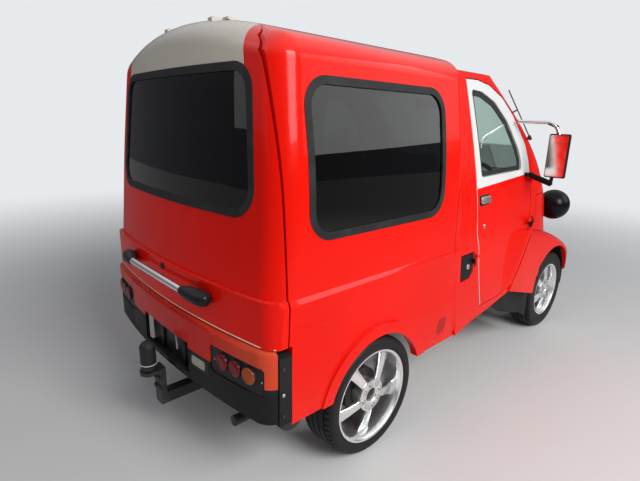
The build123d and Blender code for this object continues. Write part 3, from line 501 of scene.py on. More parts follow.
FLANK_CREASES = [((0.941, 0.681), (1.228, 0.700)), ((0.215, 0.537), (0.541, 0.539))]
box_red = paint("box_red", RED, pale=cream_above(1.60), creases=FLANK_CREASES)
dress(box_red, "cargo_shell")

# Louvres
# Three black slots low on the right-hand flank let the engine bay breathe; each leans forward at
# its top.
black_plastic = plastic("black_plastic", (0.008, 0.008, 0.009), grain=260.0, depth=0.0006)
skins = {}
BESIDE = 0.9


def surface(node, start, direction):
    """Where a line from outside meets a CAD node, and which way the surface faces there."""
    if node not in skins:
        skins[node] = BVHTree.FromObject(nodes[node], bpy.context.evaluated_depsgraph_get())
    point, normal, _, _ = skins[node].ray_cast(Vector(start), Vector(direction))
    return point, normal


def on_side(node, sign, y, z):
    """The outermost place on a node's right (-1) or left (1) side, and its normal."""
    return surface(node, (sign * BESIDE, y, z), (-sign, 0, 0))


def round_off(mesh, parts, radius, segments, affect="EDGES"):
    """Round edges or, where affect says so, vertices."""
    bmesh.ops.bevel(
        mesh, geom=parts, offset=radius, segments=segments, affect=affect, profile=0.5, material=-1,
    )


def laid(mesh, sheet_of, thickness):
    """Turn a flat net of faces into a sheet of even thickness on the surface under it."""
    for vertex in mesh.verts:
        vertex.co = sheet_of(vertex.co)
    bmesh.ops.recalc_face_normals(mesh, faces=mesh.faces)
    bmesh.ops.solidify(mesh, geom=mesh.faces, thickness=thickness)


def side_patch(mesh, corners, corner_radius, width=0, cuts=1):
    """A flat patch drawn in y and z with round corners or, given a width, only a frame round it."""
    face = mesh.faces.new([mesh.verts.new((0, y, z)) for y, z in corners])
    if width:
        copied = bmesh.ops.duplicate(mesh, geom=[face])["geom"]
        inner = [part for part in copied if isinstance(part, bmesh.types.BMFace)]
        rim = bmesh.ops.inset_region(
            mesh, faces=inner, thickness=width, use_boundary=True, use_even_offset=True,
        )["faces"]
        bmesh.ops.delete(mesh, geom=rim, context="FACES")
    round_off(mesh, mesh.verts[:], corner_radius, 6, "VERTICES")
    if width:
        loops = mesh.edges[:]
        bmesh.ops.delete(mesh, geom=mesh.faces[:], context="FACES_ONLY")
        bmesh.ops.bridge_loops(mesh, edges=loops)
    long_edges = [e for e in mesh.edges if e.calc_length() > 0.03]
    bmesh.ops.subdivide_edges(mesh, edges=long_edges, cuts=cuts, use_grid_fill=True)


def laid_on_side(mesh, node, sign, proud, thickness):
    """Lay a flat net on a node's side, standing a little proud of it."""
    lift = Vector((sign * proud, 0, 0))
    laid(mesh, lambda point: on_side(node, sign, point.y, point.z)[0] + lift, -sign * thickness)


for number, y in enumerate((0.3045, 0.3265, 0.3485)):
    mesh = bmesh.new()
    corners = [(y - 0.016, 0.475), (y - 0.008, 0.475), (y + 0.015, 0.400), (y + 0.007, 0.400)]
    side_patch(mesh, corners, 0.0028)
    laid_on_side(mesh, "cargo_shell", -1, 0.0008, 0.0016)
    piece(f"louvre_{number + 1}", mesh, black_plastic, "body")

# Side windows
# Dark tinted glass held in a broad black rubber section that is pressed over the edge of the
# opening.
seal_black = rubber("seal_black")
dress(seal_black, "side_seals", "tailgate_seal", "windscreen_seal")


def glass(name, tint, roughness=0.012):
    """Toughened glass with a tint of its own and a few wiped smears."""
    material, shader, place, _ = finish_of(name)
    smear = noise(place, 5.0, 6.0).ramp(0.5, 0.85)
    place.feed(shader.inputs["Base Color"], tint)
    shader.inputs["Transmission Weight"].default_value = 1.0
    shader.inputs["IOR"].default_value = 1.5
    place.feed(shader.inputs["Roughness"], roughness + 0.03 * smear)
    return material


dark_glass = glass("dark_glass", (0.015, 0.019, 0.02))
dress(dark_glass, "side_glass", "tailgate_glass")


# Tailgate
# One moulding that wraps round both rear corners, hinged at the roof: its top is cream with the
# roof, its window is bonded in rubber, and a chromed grab bar sits between two black cups.
gate_red = paint("gate_red", RED, pale=cream_above(1.46))
dress(gate_red, "tailgate")
dress(box_red, "roof_hinges")
chrome = metal("chrome", (0.9, 0.9, 0.9), 0.06, (0.25, 0.2, 0.16), 0.12)
cup_black = plastic("cup_black", (0.010, 0.0105, 0.012), grain=500.0, gloss=0.24, depth=0.0001)


def tube(name, points, radius, material, body, straight=False):
    """A round bar or strip that follows points: a curve given its thickness and made a mesh."""
    curve = bpy.data.curves.new(name, "CURVE")
    curve.dimensions = "3D"
    curve.bevel_depth = radius
    curve.bevel_resolution = 3
    curve.use_fill_caps = True
    line = curve.splines.new("POLY" if straight else "NURBS")
    line.points.add(len(points) - 1)
    for spot, place in zip(line.points, points):
        spot.co = (*place, 1)
    if not straight:
        line.order_u = 3
        line.use_endpoint_u = True
        line.resolution_u = 6
    holder = bpy.data.objects.new(name, curve)
    scene.collection.objects.link(holder)
    bpy.context.view_layer.update()
    made = bpy.data.meshes.new_from_object(holder)
    bpy.data.objects.remove(holder)
    mesh = bmesh.new()
    mesh.from_mesh(made)
    return piece(name, mesh, material, body)


GRAB_BAR = [(-0.252, 1.390, 0.7502), (-0.2, 1.393, 0.752), (0.2, 1.393, 0.752), (0.252, 1.390, 0.7502)]
grab_chrome = tube("grab_bar_chrome", GRAB_BAR, 0.0148, chrome, "tailgate")
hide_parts("grab_bar")
CUP = [
    (0, 0), (0, 0.0165), (0.006, 0.0185), (0.020, 0.0220), (0.045, 0.0262), (0.075, 0.0288), (0.1, 0.0292),
    (0.118, 0.0272), (0.131, 0.0222), (0.139, 0.0140), (0.142, 0),
]


def standing(spot, start, end):
    """The move that takes the origin to a spot and turns the direction start into end."""
    return Matrix.Translation(spot) @ Vector(start).rotation_difference(end).to_matrix().to_4x4()


for hand, sign in HANDS:
    mesh = bmesh.new()
    turned(mesh, CUP, 48)
    outward = Vector((sign * 0.108, -0.025, -0.007)).normalized()
    at_end = standing((sign * 0.222, 1.392, 0.7515), (1, 0, 0), outward)
    piece(f"grab_cup_{hand}", moved(mesh, at_end), cup_black, "tailgate", 60)


def knob(name, place_and_normal, profile, material, body, steps=32):
    """A turned piece standing on a surface, its axis square to it."""
    spot, normal = place_and_normal
    mesh = bmesh.new()
    turned(mesh, profile, steps)
    piece(name, moved(mesh, standing(spot, (1, 0, 0), normal)), material, body)


BEHIND = 1.7


def on_tail(node, x, z):
    """The rearmost place on a node, and its normal."""
    return surface(node, (x, BEHIND, z), (0, -1, 0))


LOCK = [
    (-0.006, 0), (-0.006, 0.0135), (0.003, 0.0135), (0.0045, 0.012), (0.0045, 0.0085), (0.003, 0.008),
    (0.003, 0),
]
knob("tailgate_lock", on_tail("tailgate", 0, 0.779), LOCK, cap_black, "tailgate")
# Pale rubber for the plate strap and the tow ball band. The same pale finish also draws the painted
# highlight down each door's rear gap.
pale_rubber = rubber("pale_rubber", (0.5, 0.48, 0.45), 0.1)
edge_cream = rubber("edge_cream", (0.80, 0.66, 0.50), 0.1)
EDGE_HALF_WIDTH = 0.634
EDGE_Z = 0.6435
EDGE_STEPS = 32
edge_points = []
for step in range(EDGE_STEPS + 1):
    x = -EDGE_HALF_WIDTH + step * 2 * EDGE_HALF_WIDTH / EDGE_STEPS
    spot, _ = on_tail("tailgate", x, EDGE_Z + 0.004)
    edge_points.append((x, spot.y + 0.0006, EDGE_Z))
tube("tailgate_edge_strip", edge_points, 0.0019, edge_cream, "tailgate")

# Cab body
# Pressed steel shell with a leaning nose, deep door openings and a broad curved roof; its windscreen
# and door windows are clear glass with a green tint.
body_red = paint("body_red", RED)
dress(body_red, "cab_shell", "nose_panel", "front_fenders", "hinge_brackets")
clear_glass = glass("clear_glass", (0.72, 0.84, 0.78))
dress(clear_glass, "windscreen", "door_glass_right", "door_glass_left")
dress(black_plastic, "wheel_liners")

# Pillar seam
# The joint between cab and box is closed by a painted strip that dips a little below both panels,
# broader beside the window than under the flank's ledge.
SEAM_FRONT_Y = 0.197
SEAM_REAR_Y = 0.2235
SEAM_FOOT_Z = 0.376
SEAM_HEIGHT = 0.70
SEAM_DIP = 0.0014
LEDGE_Z = 0.742
WIDER_ABOVE = 0.030
for hand, sign in HANDS:
    def seam_at(point):
        across, z = point.x + 0.5, SEAM_FOOT_Z + (point.y + 0.5) * SEAM_HEIGHT
        above = max(0.0, min(1.0, (z - LEDGE_Z) / 0.012))
        y_end = SEAM_REAR_Y + above * WIDER_ABOVE
        cab, _ = on_side("cab_shell", sign, SEAM_FRONT_Y - 0.001, z)
        box, _ = on_side("cargo_shell", sign, y_end, z)
        x = cab.x + (box.x - cab.x) * across - sign * SEAM_DIP * (1 - across * above)
        return (x, SEAM_FRONT_Y + (y_end - SEAM_FRONT_Y) * across, z)

    mesh = bmesh.new()
    bmesh.ops.create_grid(mesh, x_segments=4, y_segments=60, size=0.5)
    laid(mesh, seam_at, -0.002 * sign)
    piece(f"pillar_seam_{hand}", mesh, body_red, "body")


# Doors
# Each door is a red panel with its window frame painted off-white, a black rubber channel round the
# glass, a satin pull handle, a key lock, and a thin pale line down its rear edge: a painted highlight on the
# edge of the door gap.
WAIST_Y = 0.05
WAIST_Z = 1.0475
WAIST_SLOPE = 0.068


def door_frame(x, y, z):
    """The window frame above the door's waist line."""
    waist = WAIST_Z - (y - WAIST_Y) * WAIST_SLOPE
    return (z - waist).ramp(-0.0005, 0.0005)


door_red = paint("door_red", RED, pale=door_frame, pale_colour=(0.72, 0.73, 0.71))
dress(door_red, "door_right", "door_left")


def plain_block(size):
    """A block of a size, centred, as stock for a piece whose edges are then rounded."""
    mesh = bmesh.new()
    bmesh.ops.create_cube(mesh, size=1)
    bmesh.ops.scale(mesh, vec=size, verts=mesh.verts)
    return mesh


DOOR_WINDOW = [
    (-0.006, 1.101), (-0.447, 1.115), (-0.447, 1.161), (-0.424, 1.224), (-0.327, 1.362), (-0.208, 1.456),
    (-0.089, 1.499), (0.008, 1.506),
]
GAP_HIGHLIGHT_POINTS = [
    (0.0515, 1.553), (0.0505, 1.4), (0.0495, 1.2), (0.0482, 1.0), (0.047, 0.814), (0.024, 0.783),
    (0.012, 0.7), (-0.004, 0.6), (-0.018, 0.52), (-0.0285, 0.447),
]
HANDLE_RECESS = [(-0.074, 0.966), (0.026, 0.962), (0.028, 1.014), (-0.072, 1.016)]
DOOR_LOCK = [
    (-0.006, 0), (-0.006, 0.011), (0.002, 0.011), (0.0035, 0.0095), (0.0035, 0.004), (0.001, 0.003),
    (0.001, 0),
]
for hand, sign in HANDS:
    door = f"door_{hand}"
    mesh = bmesh.new()
    side_patch(mesh, DOOR_WINDOW, 0.012, 0.022, 6)
    laid_on_side(mesh, f"door_glass_{hand}", sign, 0.0005, 0.0075)
    piece(f"window_channel_{hand}", mesh, seal_black, door)
    # A thin pale tube down the door's rear gap: a painted highlight standing for the light that the gap's
    # edge catches.
    strip = []
    for y, z in GAP_HIGHLIGHT_POINTS:
        spot, _ = on_side(door, sign, y - 0.012, z)
        strip.append((spot.x + sign * 0.0006, y + 0.0005, z))
    tube(f"door_strip_{hand}", strip, 0.0024, pale_rubber, "body")
    lock_place = on_side(door, sign, -0.022, 0.86)
    knob(f"door_lock_{hand}", lock_place, DOOR_LOCK, zinc, door)
    mesh = bmesh.new()
    side_patch(mesh, HANDLE_RECESS, 0.012)
    laid_on_side(mesh, door, sign, 0.0004, 0.0012)
    piece(f"handle_recess_{hand}", mesh, cap_black, door)
    mesh = plain_block((0.009, 0.092, 0.036))
    across = [e for e in mesh.edges if abs(e.verts[0].co.x - e.verts[1].co.x) > 0.005]
    round_off(mesh, across, 0.012, 5)
    round_off(mesh, mesh.edges[:], 0.0026, 3)
    spot, normal = on_side(door, sign, -0.024, 0.990)
    at_handle = standing(spot + normal * 0.006, (sign, 0, 0), normal)
    piece(f"door_handle_{hand}", moved(mesh, at_handle), zinc, door)

# Door mirrors
# A tall black shell on a chromed tube from the pillar, steadied below by a black bracket; the glass
# faces rearward. The door's lower hinge, red with a black plug over its pin, rides along.
HINGE_TOP_Z = 0.9


def black_beside_red(name, blackness, gloss, grain):
    """Black plastic with a stretch painted red like the body, where blackness gives 0."""
    material, shader, place, (_, y, z) = finish_of(name, 0.14)
    place.feed(shader.inputs["Base Color"], blackness(y, z).mix(RED, (0.010, 0.010, 0.011)))
    place.feed(shader.inputs["Roughness"], gloss + 0.2 * noise(place, grain, 4.0))
    return material


mount_black = black_beside_red("mount_black", lambda y, z: (z - HINGE_TOP_Z).ramp(0.0, 0.001), 0.3, 60.0)
dress(mount_black, "mirror_right", "mirror_left")
mirror_silver = metal("mirror_silver", (0.85, 0.87, 0.86), 0.02, stained=0.0, grain=20.0)
STAY = [
    (0.562, -0.4055, 1.368), (0.63, -0.424, 1.3675), (0.688, -0.443, 1.3665), (0.708, -0.448, 1.366),
    (0.735, -0.455, 1.352), (0.752, -0.459, 1.33), (0.76, -0.46, 1.304),
]
for hand, sign in HANDS:
    door = f"door_{hand}"
    stay = [(sign * x, y, z) for x, y, z in STAY]
    tube(f"mirror_stay_{hand}", stay, 0.0098, chrome, door)
    mesh = plain_block((0.142, 0.013, 0.030))
    round_off(mesh, mesh.edges[:], 0.004, 3)
    along = Vector((sign * 0.124, 0.041, -0.030)).normalized()
    at_arm = standing((sign * 0.690, -0.4845, 1.067), (sign, 0, 0), along)
    piece(f"mirror_arm_{hand}", moved(mesh, at_arm), black_plastic, door)
    mesh = bmesh.new()
    bmesh.ops.create_uvsphere(mesh, u_segments=24, v_segments=12, radius=1)
    bmesh.ops.scale(mesh, vec=(0.0105, 0.0115, 0.036), verts=mesh.verts)
    bmesh.ops.translate(mesh, vec=(sign * 0.653, -0.548, 0.815), verts=mesh.verts)
    piece(f"hinge_plug_{hand}", mesh, black_plastic, door, 60)
    mesh = plain_block((0.092, 0.002, 0.212))
    through = [e for e in mesh.edges if abs(e.verts[0].co.y - e.verts[1].co.y) > 0.0015]
    round_off(mesh, through, 0.008, 4)
    bmesh.ops.translate(mesh, vec=(sign * 0.7675, -0.4484, 1.1975), verts=mesh.verts)
    piece(f"mirror_glass_{hand}", mesh, mirror_silver, door)

# Fuel lid and aerial
# The lid behind the right-hand door is a black moulding with a keyed lock and a red hinge; the thin
# black aerial lies along the windscreen pillar in two clips.
HINGE_REAR_Y = 0.064
lid_black = black_beside_red("lid_black", lambda y, z: (y - HINGE_REAR_Y).ramp(0.0, 0.001), 0.34, 90.0)
dress(lid_black, "fuel_lid")
lid_lock_place = on_side("fuel_lid", -1, 0.115, 0.678)
knob("fuel_lid_lock", lid_lock_place, LOCK, zinc, "fuel_lid")
black_steel = metal("black_steel", (0.012, 0.012, 0.013), 0.4, metallic=0.0, stained=0.3)
dress(black_steel, "aerial")

# Rear bumper
# The upper shell is self-coloured plastic, paler coral towards its ends and top: partly faded by the sun,
# partly painted sunlight on the corners and the top lip. Below it a black valance holds the lamp clusters,
# a reversing lamp and the open number plate recess.
def faded_and_sunlit_plastic(name, fresh, faded):
    """Coloured plastic, paler towards the vehicle's corners and on top: partly sun-fading, partly painted
    sunlight.
    """
    material, shader, place, (x, _, _) = finish_of(name, 0.12)
    # Paler towards both ends and on faces that look up: this is sun-fading plus painted sunlight where the
    # bumper wraps round into the light and along its top lip. The cloud adds patchy fading.
    corner = x.size().ramp(0.26, 0.60)
    cloud = noise(place, 6.0, 5.0).ramp(0.4, 0.75)
    fading_and_sunlight = corner * 0.75 + cloud * 0.25 + facing_up(place).ramp(0.4, 1.0) * 0.2
    place.feed(shader.inputs["Base Color"], fading_and_sunlight.mix(fresh, faded))
    place.feed(shader.inputs["Roughness"], 0.24 + 0.2 * fading_and_sunlight)
    bump(place, shader, noise(place, 500.0, 2.0), 0.0001, 0.5)
    return material


coral_plastic = faded_and_sunlit_plastic("coral_plastic", (0.62, 0.008, 0.004), (0.66, 0.085, 0.035))
dress(coral_plastic, "rear_bumper", "front_bumper")
dress(black_plastic, "rear_valance")
dress(cap_black, "tail_lamps")


def lens(name, colour):
    """Moulded lamp lens: rings and prisms inside a coloured plastic."""
    material, shader, place, _ = finish_of(name, 0.15)
    prism = place.node("TexVoronoi", vector=place, scale=230.0)
    deep = tuple(c * 0.45 for c in colour)
    place.feed(shader.inputs["Base Color"], prism.ramp(0.0, 0.6).mix(deep, colour))
    place.feed(shader.inputs["Roughness"], 0.12 + 0.1 * prism)
    shader.inputs["Coat Weight"].default_value = 0.25
    bump(place, shader, prism, 0.0005, 0.5)
    return material


lens_red = lens("lens_red", (0.18, 0.003, 0.008))
lens_amber = lens("lens_amber", (0.40, 0.07, 0.008))
lens_cream = lens("lens_cream", (0.42, 0.38, 0.29))
DOME = [
    (-0.004, 0), (-0.004, 0.0300), (0.0012, 0.0300), (0.0030, 0.0286), (0.0036, 0.0262), (0.0032, 0.0252),
    (0.0046, 0.0222), (0.0042, 0.0212), (0.0054, 0.0182), (0.0050, 0.0172), (0.0060, 0.0140),
    (0.0056, 0.0130), (0.0064, 0.0095), (0.0061, 0.0085), (0.0066, 0.0045), (0.0067, 0),
]
SCREW = [(-0.003, 0), (-0.003, 0.0032), (0.0006, 0.0032), (0.0014, 0.0024), (0.0016, 0.0008), (0.0010, 0)]
END_BOLT = [(-0.003, 0), (-0.003, 0.0065), (0.003, 0.0065), (0.0045, 0.005), (0.005, 0)]
LENS_Z = 0.534
SCREW_Z = 0.5245
END_PLATE_Y = 1.262
LENSES = [("inner", 0.4177, lens_red), ("middle", 0.484, lens_red), ("outer", 0.5517, lens_amber)]
for hand, sign in HANDS:
    for position, x, finish in LENSES:
        lens_place = on_tail("tail_lamps", sign * x, LENS_Z)
        knob(f"lamp_{position}_{hand}", lens_place, DOME, finish, "body", 40)
    for number, x in enumerate((0.368, 0.6015)):
        screw_place = on_tail("tail_lamps", sign * x, SCREW_Z)
        knob(f"lamp_screw_{number + 1}_{hand}", screw_place, SCREW, zinc, "body", 12)
    for number, (z, finish) in enumerate(((0.398, black_steel), (0.478, zinc), (0.572, black_steel))):
        bolt_place = on_side("rear_valance", sign, END_PLATE_Y, z)
        bolt_name = f"end_plate_bolt_{number + 1}_{hand}"
        knob(bolt_name, bolt_place, END_BOLT, finish, "body", 8)


def upright_oblong(mesh, x_range, z_range, corner, segments):
    """A flat oblong that stands across the vehicle, with round corners."""
    (x0, x1), (z0, z1) = x_range, z_range
    face = mesh.faces.new([mesh.verts.new((x, 0, z)) for x, z in ((x0, z0), (x1, z0), (x1, z1), (x0, z1))])
    round_off(mesh, list(face.verts), corner, segments, "VERTICES")


def valance_panel(name, x_range, z_range, corner, proud, material):
    """A flat moulding laid on the curved valance."""
    mesh = bmesh.new()
    upright_oblong(mesh, x_range, z_range, corner, 5)
    bmesh.ops.triangulate(mesh, faces=mesh.faces)
    bmesh.ops.subdivide_edges(mesh, edges=[e for e in mesh.edges if e.calc_length() > 0.03], cuts=2)
    lift = Vector((0, proud, 0))
    laid(mesh, lambda point: on_tail("rear_valance", point.x, point.z)[0] + lift, 0.003)
    piece(name, mesh, material, "body")


valance_panel(
    "reversing_lamp_frame", (-0.331, -0.211), (0.441, 0.500), 0.020, 0.0012, cap_black,
)
valance_panel(
    "reversing_lamp_lens", (-0.311, -0.226), (0.452, 0.488), 0.010, 0.0024, lens_cream,
)

# Number plate recess
# Behind the opening in the valance is a black sheet bracket, stiffened by two channels, with a loose
# pale strap hanging from it.
for name, size, at in (
    ("plate_bracket", (0.42, 0.004, 0.190), (0, 1.326, 0.463)),
    ("plate_shelf", (0.42, 0.030, 0.004), (0, 1.340, 0.3725)),
    ("plate_channel_right", (0.026, 0.012, 0.170), (-0.098, 1.333, 0.465)),
    ("plate_channel_left", (0.026, 0.012, 0.170), (0.098, 1.333, 0.465)),
):
    mesh = plain_block(size)
    round_off(mesh, mesh.edges[:], 0.0015, 2)
    bmesh.ops.translate(mesh, vec=at, verts=mesh.verts)
    piece(name, mesh, black_steel, "body")
STRAP = [
    (-0.052, 1.3425, 0.515), (-0.055, 1.346, 0.498), (-0.063, 1.349, 0.475), (-0.07, 1.350, 0.450),
    (-0.066, 1.349, 0.440),
]
tube("plate_strap", STRAP, 0.004, pale_rubber, "body")

# Tow gear
# A square steel bar carries the drop plate with its forged ball, kept under a rubber cap; hexagon
# bolts hold the plate.
dress(black_steel, "tow_hitch")
dress(rubber("cap_rubber", (0.017, 0.017, 0.018), 0.6), "tow_ball_cover")
BOLT = [(-0.004, 0), (-0.004, 0.0115), (0.007, 0.0115), (0.0085, 0.0095), (0.009, 0)]
for number, (x, z) in enumerate(((-0.017, 0.306), (0.017, 0.306), (-0.017, 0.262), (0.017, 0.262))):
    bolt_place = on_tail("tow_hitch", x, z)
    knob(f"tow_plate_bolt_{number + 1}", bolt_place, BOLT, black_steel, "body", 6)
BALL_Y = 1.445
BAND_Z = 0.382
BAND_RADIUS = 0.0325
turns = [math.tau * step / 24 for step in range(25)]
band = [(BAND_RADIUS * math.cos(turn), BALL_Y + BAND_RADIUS * math.sin(turn), BAND_Z) for turn in turns]
tube("tow_ball_band", band, 0.0022, pale_rubber, "body", straight=True)

# Front end
# The leaning nose carries a spare wheel, two ball headlamps on short arms with a round amber
# indicator below each, a slotted black vent, and two wipers at the foot of the windscreen.
lamp_black = plastic(
    "lamp_black", (0.004, 0.004, 0.006), grain=60.0, gloss=0.16, depth=0.00004, bleach=0.1,
)
dress(lamp_black, "headlamps")
dress(glass("lamp_glass", (0.95, 0.97, 0.97), 0.03), "headlamp_lenses")
AHEAD = -1.9


def on_nose(node, x, z):
    """The foremost place on a node, and its normal."""
    return surface(node, (x, AHEAD, z), (0, 1, 0))


POD_SCREW = [(-0.003, 0), (-0.003, 0.006), (0.001, 0.006), (0.002, 0.0045), (0.0008, 0)]
for hand, sign in HANDS:
    screw_place = surface("headlamps", (sign * 0.72, -0.99, 0.93), (-sign * 0.145, -0.085, -0.082))
    knob(f"headlamp_screw_{hand}", screw_place, POD_SCREW, cap_black, "body", 12)
    lens_place = on_nose("nose_panel", sign * 0.36, 0.70)
    knob(f"front_indicator_{hand}", lens_place, DOME, lens_amber, "body", 40)
dress(tyre_black, "spare_tyre")
dress(metal("spare_silver", (0.5, 0.5, 0.5), 0.4, stained=0.3, metallic=0.4), "spare_rim")
for number, z in enumerate((0.500, 0.528, 0.556)):
    mesh = bmesh.new()
    upright_oblong(mesh, (-0.23, 0.23), (z - 0.008, z + 0.008), 0.006, 4)
    long_edges = [e for e in mesh.edges if e.calc_length() > 0.2]
    bmesh.ops.subdivide_edges(mesh, edges=long_edges, cuts=15, use_grid_fill=True)
    lift = Vector((0, -0.0006, 0))
    laid(mesh, lambda point: on_nose("nose_panel", point.x, point.z)[0] + lift, 0.002)
    piece(f"nose_vent_{number + 1}", mesh, black_plastic, "body")
for hand, pivot_x, tip_x in (("right", -0.10, -0.47), ("left", 0.40, 0.03)):
    low, _ = on_nose("cab_shell", pivot_x, 0.985)
    reach = []
    for share in (0.0, 0.25, 0.5, 0.75, 1.0):
        x = pivot_x + (tip_x - pivot_x) * share
        spot, _ = on_nose("windscreen", x, 1.045 + 0.03 * share)
        reach.append(spot + Vector((0, -0.009, 0.004)))
    tube(f"wiper_blade_{hand}", reach, 0.0045, seal_black, "body")
    arm = [
        low + Vector((0, -0.004, 0)), low + Vector((0, -0.022, 0.01)),
        reach[1] + Vector((0, -0.008, 0.003)), reach[2] + Vector((0, -0.004, 0.002)),
    ]
    tube(f"wiper_arm_{hand}", arm, 0.0048, black_steel, "body")


# Seats
# Two bucket seats: foam on a pressed frame under black woven cloth, with a sewn line down each side
# of the cushion and the back.
cloth = plastic("cloth", (0.02, 0.02, 0.023), grain=700.0, gloss=0.8, depth=0.0006, bleach=0.3)
dress(cloth, "seats")
SEAT_X = 0.245
SEAM_X = 0.125
SEAM_HALF_WIDTH = 0.006
SEAM_DEPTH = 0.006
SEAM_LOWEST_Z = 0.62
DRAWN_IN = 0.007
HELD_BAND = 0.02
FILLING_STEPS = 20
MOST_SWELLING = 0.012


def shown(holder):
    """The mesh that an object has after its modifiers."""
    seen = holder.evaluated_get(bpy.context.evaluated_depsgraph_get())
    return bpy.data.meshes.new_from_object(seen)


def stuffed_seat():
    """One seat blown up from its plain form: remeshed, drawn in a little, and filled by pressure."""
    mesh = bmesh.new()
    mesh.from_mesh(nodes["seats"].data)
    bmesh.ops.delete(mesh, geom=[v for v in mesh.verts if v.co.x > 0], context="VERTS")
    bmesh.ops.remove_doubles(mesh, verts=mesh.verts, dist=1e-5)
    data = bpy.data.meshes.new("seat_form")
    mesh.to_mesh(data)
    mesh.free()
    holder = bpy.data.objects.new("seat_form", data)
    scene.collection.objects.link(holder)
    remesh = holder.modifiers.new("remesh", "REMESH")
    remesh.mode = "VOXEL"
    remesh.voxel_size = 0.006
    form = shown(holder)
    holder.modifiers.clear()
    holder.data = form
    mesh = bmesh.new()
    mesh.from_mesh(form)
    mesh.normal_update()
    for vertex in mesh.verts:
        vertex.co -= vertex.normal * DRAWN_IN
    mesh.to_mesh(form)
    mesh.free()
    start = [vertex.co.copy() for vertex in form.vertices]
    held = holder.vertex_groups.new(name="held")
    low = min(place.z for place in start)
    held.add([i for i, place in enumerate(start) if place.z < low + HELD_BAND], 1.0, "REPLACE")
    filling = holder.modifiers.new("filling", "CLOTH").settings
    filling.use_pressure = True
    filling.uniform_pressure_force = 4
    filling.effector_weights.gravity = 0
    filling.vertex_group_mass = "held"
    filling.quality = 4
    for step in range(1, FILLING_STEPS + 1):
        scene.frame_set(step)
    full = shown(holder)
    scene.frame_set(1)
    for vertex, began in zip(full.vertices, start):
        move = vertex.co - began
        if move.length > MOST_SWELLING:
            vertex.co = began + move.normalized() * MOST_SWELLING
    form = full
    bpy.data.objects.remove(holder)
    return form


form = stuffed_seat()
for hand, shift in (("right", 0.0), ("left", 2 * SEAT_X)):
    mesh = bmesh.new()
    mesh.from_mesh(form)
    mesh.normal_update()
    for vertex in mesh.verts:
        off = abs(abs(vertex.co.x + SEAT_X) - SEAM_X)
        depth = SEAM_DEPTH * math.exp(-((off / SEAM_HALF_WIDTH) ** 2))
        if vertex.co.z > SEAM_LOWEST_Z:
            vertex.co -= vertex.normal * depth
    bmesh.ops.translate(mesh, vec=(shift, 0, 0), verts=mesh.verts)
    seat = piece(f"seat_cover_{hand}", mesh, cloth, "body", 180)
    smooth = seat.modifiers.new("smooth", "SUBSURF")
    smooth.levels = 1
    smooth.render_levels = 1
    if hand == "right":
        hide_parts("seats")

# Dashboard and steering
# A plain moulded dashboard with two round dials before the driver, and a three-spoke wheel; the gear
# lever stands between the seats, and a mirror sits high behind the windscreen.
dash_grey = plastic("dash_grey", (0.02, 0.02, 0.02), grain=500.0, gloss=0.6, bleach=0.2)
dress(dash_grey, "dashboard", "steering_column", "steering_wheel")
dial_grey = plastic("dial_grey", (0.3, 0.31, 0.32), grain=900.0, gloss=0.3, bleach=0.1)
DIAL = [
    (-0.004, 0), (-0.004, 0.048), (0.010, 0.048), (0.012, 0.045), (0.010, 0.042), (0.003, 0.041),
    (0.003, 0),
]
for number, x in enumerate((-0.30, -0.19)):
    dial_place = surface("dashboard", (x, 0.2, 0.885), (0, -1, 0))
    knob(f"dial_{number + 1}", dial_place, DIAL, dial_grey, "body", 40)
mesh = plain_block((0.23, 0.018, 0.07))
round_off(mesh, mesh.edges[:], 0.006, 4)
bmesh.ops.translate(mesh, vec=(0, -0.40, 1.47), verts=mesh.verts)
piece("rear_view_mirror", mesh, dash_grey, "body")
LEVER = [(0.0, -0.36, 0.43), (0.0, -0.365, 0.56), (-0.004, -0.372, 0.68), (-0.004, -0.374, 0.70)]
tube("gear_lever", LEVER, 0.007, black_steel, "body")
mesh = bmesh.new()
bmesh.ops.create_uvsphere(mesh, u_segments=24, v_segments=16, radius=0.024)
bmesh.ops.scale(mesh, vec=(1, 1, 1.25), verts=mesh.verts)
bmesh.ops.translate(mesh, vec=(-0.004, -0.374, 0.712), verts=mesh.verts)
piece("gear_knob", mesh, cap_black, "body")

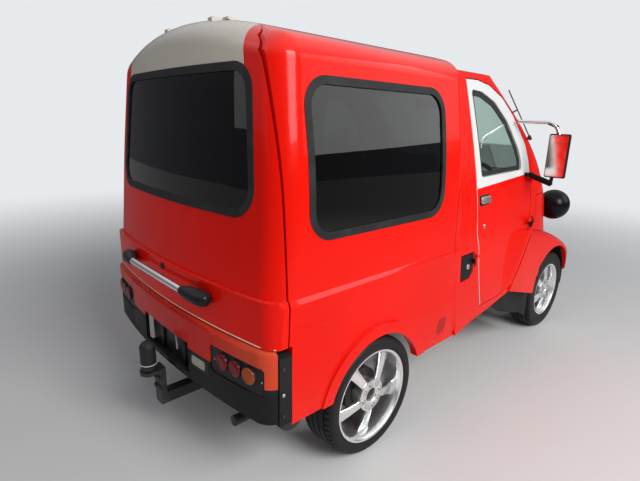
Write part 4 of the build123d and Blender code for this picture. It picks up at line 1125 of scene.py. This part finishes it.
# Studio
# A pale floor that runs into a pale backdrop, and three large soft lamps: the main one over the
# camera's right shoulder, where it lights the right side as the daylight does in the photograph.
BACKDROP = (0.80, 0.82, 0.84)
bpy.ops.mesh.primitive_plane_add(size=60, location=(0, 0, 0))
floor = bpy.context.object
floor.name = "floor"
floor_finish, floor_shader, floor_place, (x, y, _) = finish_of("floor", 0.0)
tone = noise(floor_place, 1.5, 4.0)
far = (x * x + y * y).math("SQRT").ramp(1.8, 7.5)
pale_floor = tone.mix((0.70, 0.70, 0.69), (0.75, 0.75, 0.74))
floor_place.feed(floor_shader.inputs["Base Color"], far.mix(pale_floor, (0.0, 0.0, 0.0)))
floor_rays = floor_finish.node_tree.nodes.new("ShaderNodeLightPath")
in_view = Value(floor_finish.node_tree, floor_rays.outputs["Is Camera Ray"])
horizon = in_view.mix((0.22, 0.22, 0.23), BACKDROP)
floor_place.feed(floor_shader.inputs["Emission Color"], far.mix((0.0, 0.0, 0.0), horizon))
floor_shader.inputs["Emission Strength"].default_value = 1.0
floor_shader.inputs["Roughness"].default_value = 0.7
floor.data.materials.append(floor_finish)

world = bpy.data.worlds.new("studio")
scene.world = world
world.use_nodes = True
sky = world.node_tree.nodes["Background"]
rays = world.node_tree.nodes.new("ShaderNodeLightPath")
seen = Value(world.node_tree, rays.outputs["Is Camera Ray"])
seen = seen.math("MAXIMUM", Value(world.node_tree, rays.outputs["Is Transmission Ray"]))
mirrored = Value(world.node_tree, rays.outputs["Is Glossy Ray"])
direction = world.node_tree.nodes.new("ShaderNodeTexCoord").outputs["Generated"]
parts = world.node_tree.nodes.new("ShaderNodeSeparateXYZ")
world.node_tree.links.new(direction, parts.inputs[0])
height = Value(world.node_tree, parts.outputs[2])
overhead = height.ramp(0.12, 0.75).mix((0.10, 0.10, 0.11), BACKDROP)
ambient = mirrored.mix((0.20, 0.21, 0.23), overhead)
seen.feed(sky.inputs["Color"], seen.mix(ambient, BACKDROP))

LAMPS = [
    # name, place, size, watts
    ("key", (-4.8, 1.0, 3.6), 2.6, 250),
    ("fill", (1.6, 5.0, 3.4), 3.5, 22),
    ("side", (-4.0, -3.4, 3.2), 3.0, 50),
]
for name, at, size, watts in LAMPS:
    lamp = bpy.data.lights.new(name, "AREA")
    lamp.size = size
    lamp.energy = watts
    lamp_object = bpy.data.objects.new(name, lamp)
    lamp_object.location = at
    aim = Vector((0, 0.3, 0.7)) - Vector(at)
    lamp_object.rotation_euler = aim.to_track_quat("-Z", "Y").to_euler()
    scene.collection.objects.link(lamp_object)
scene.view_settings.view_transform = "Standard"
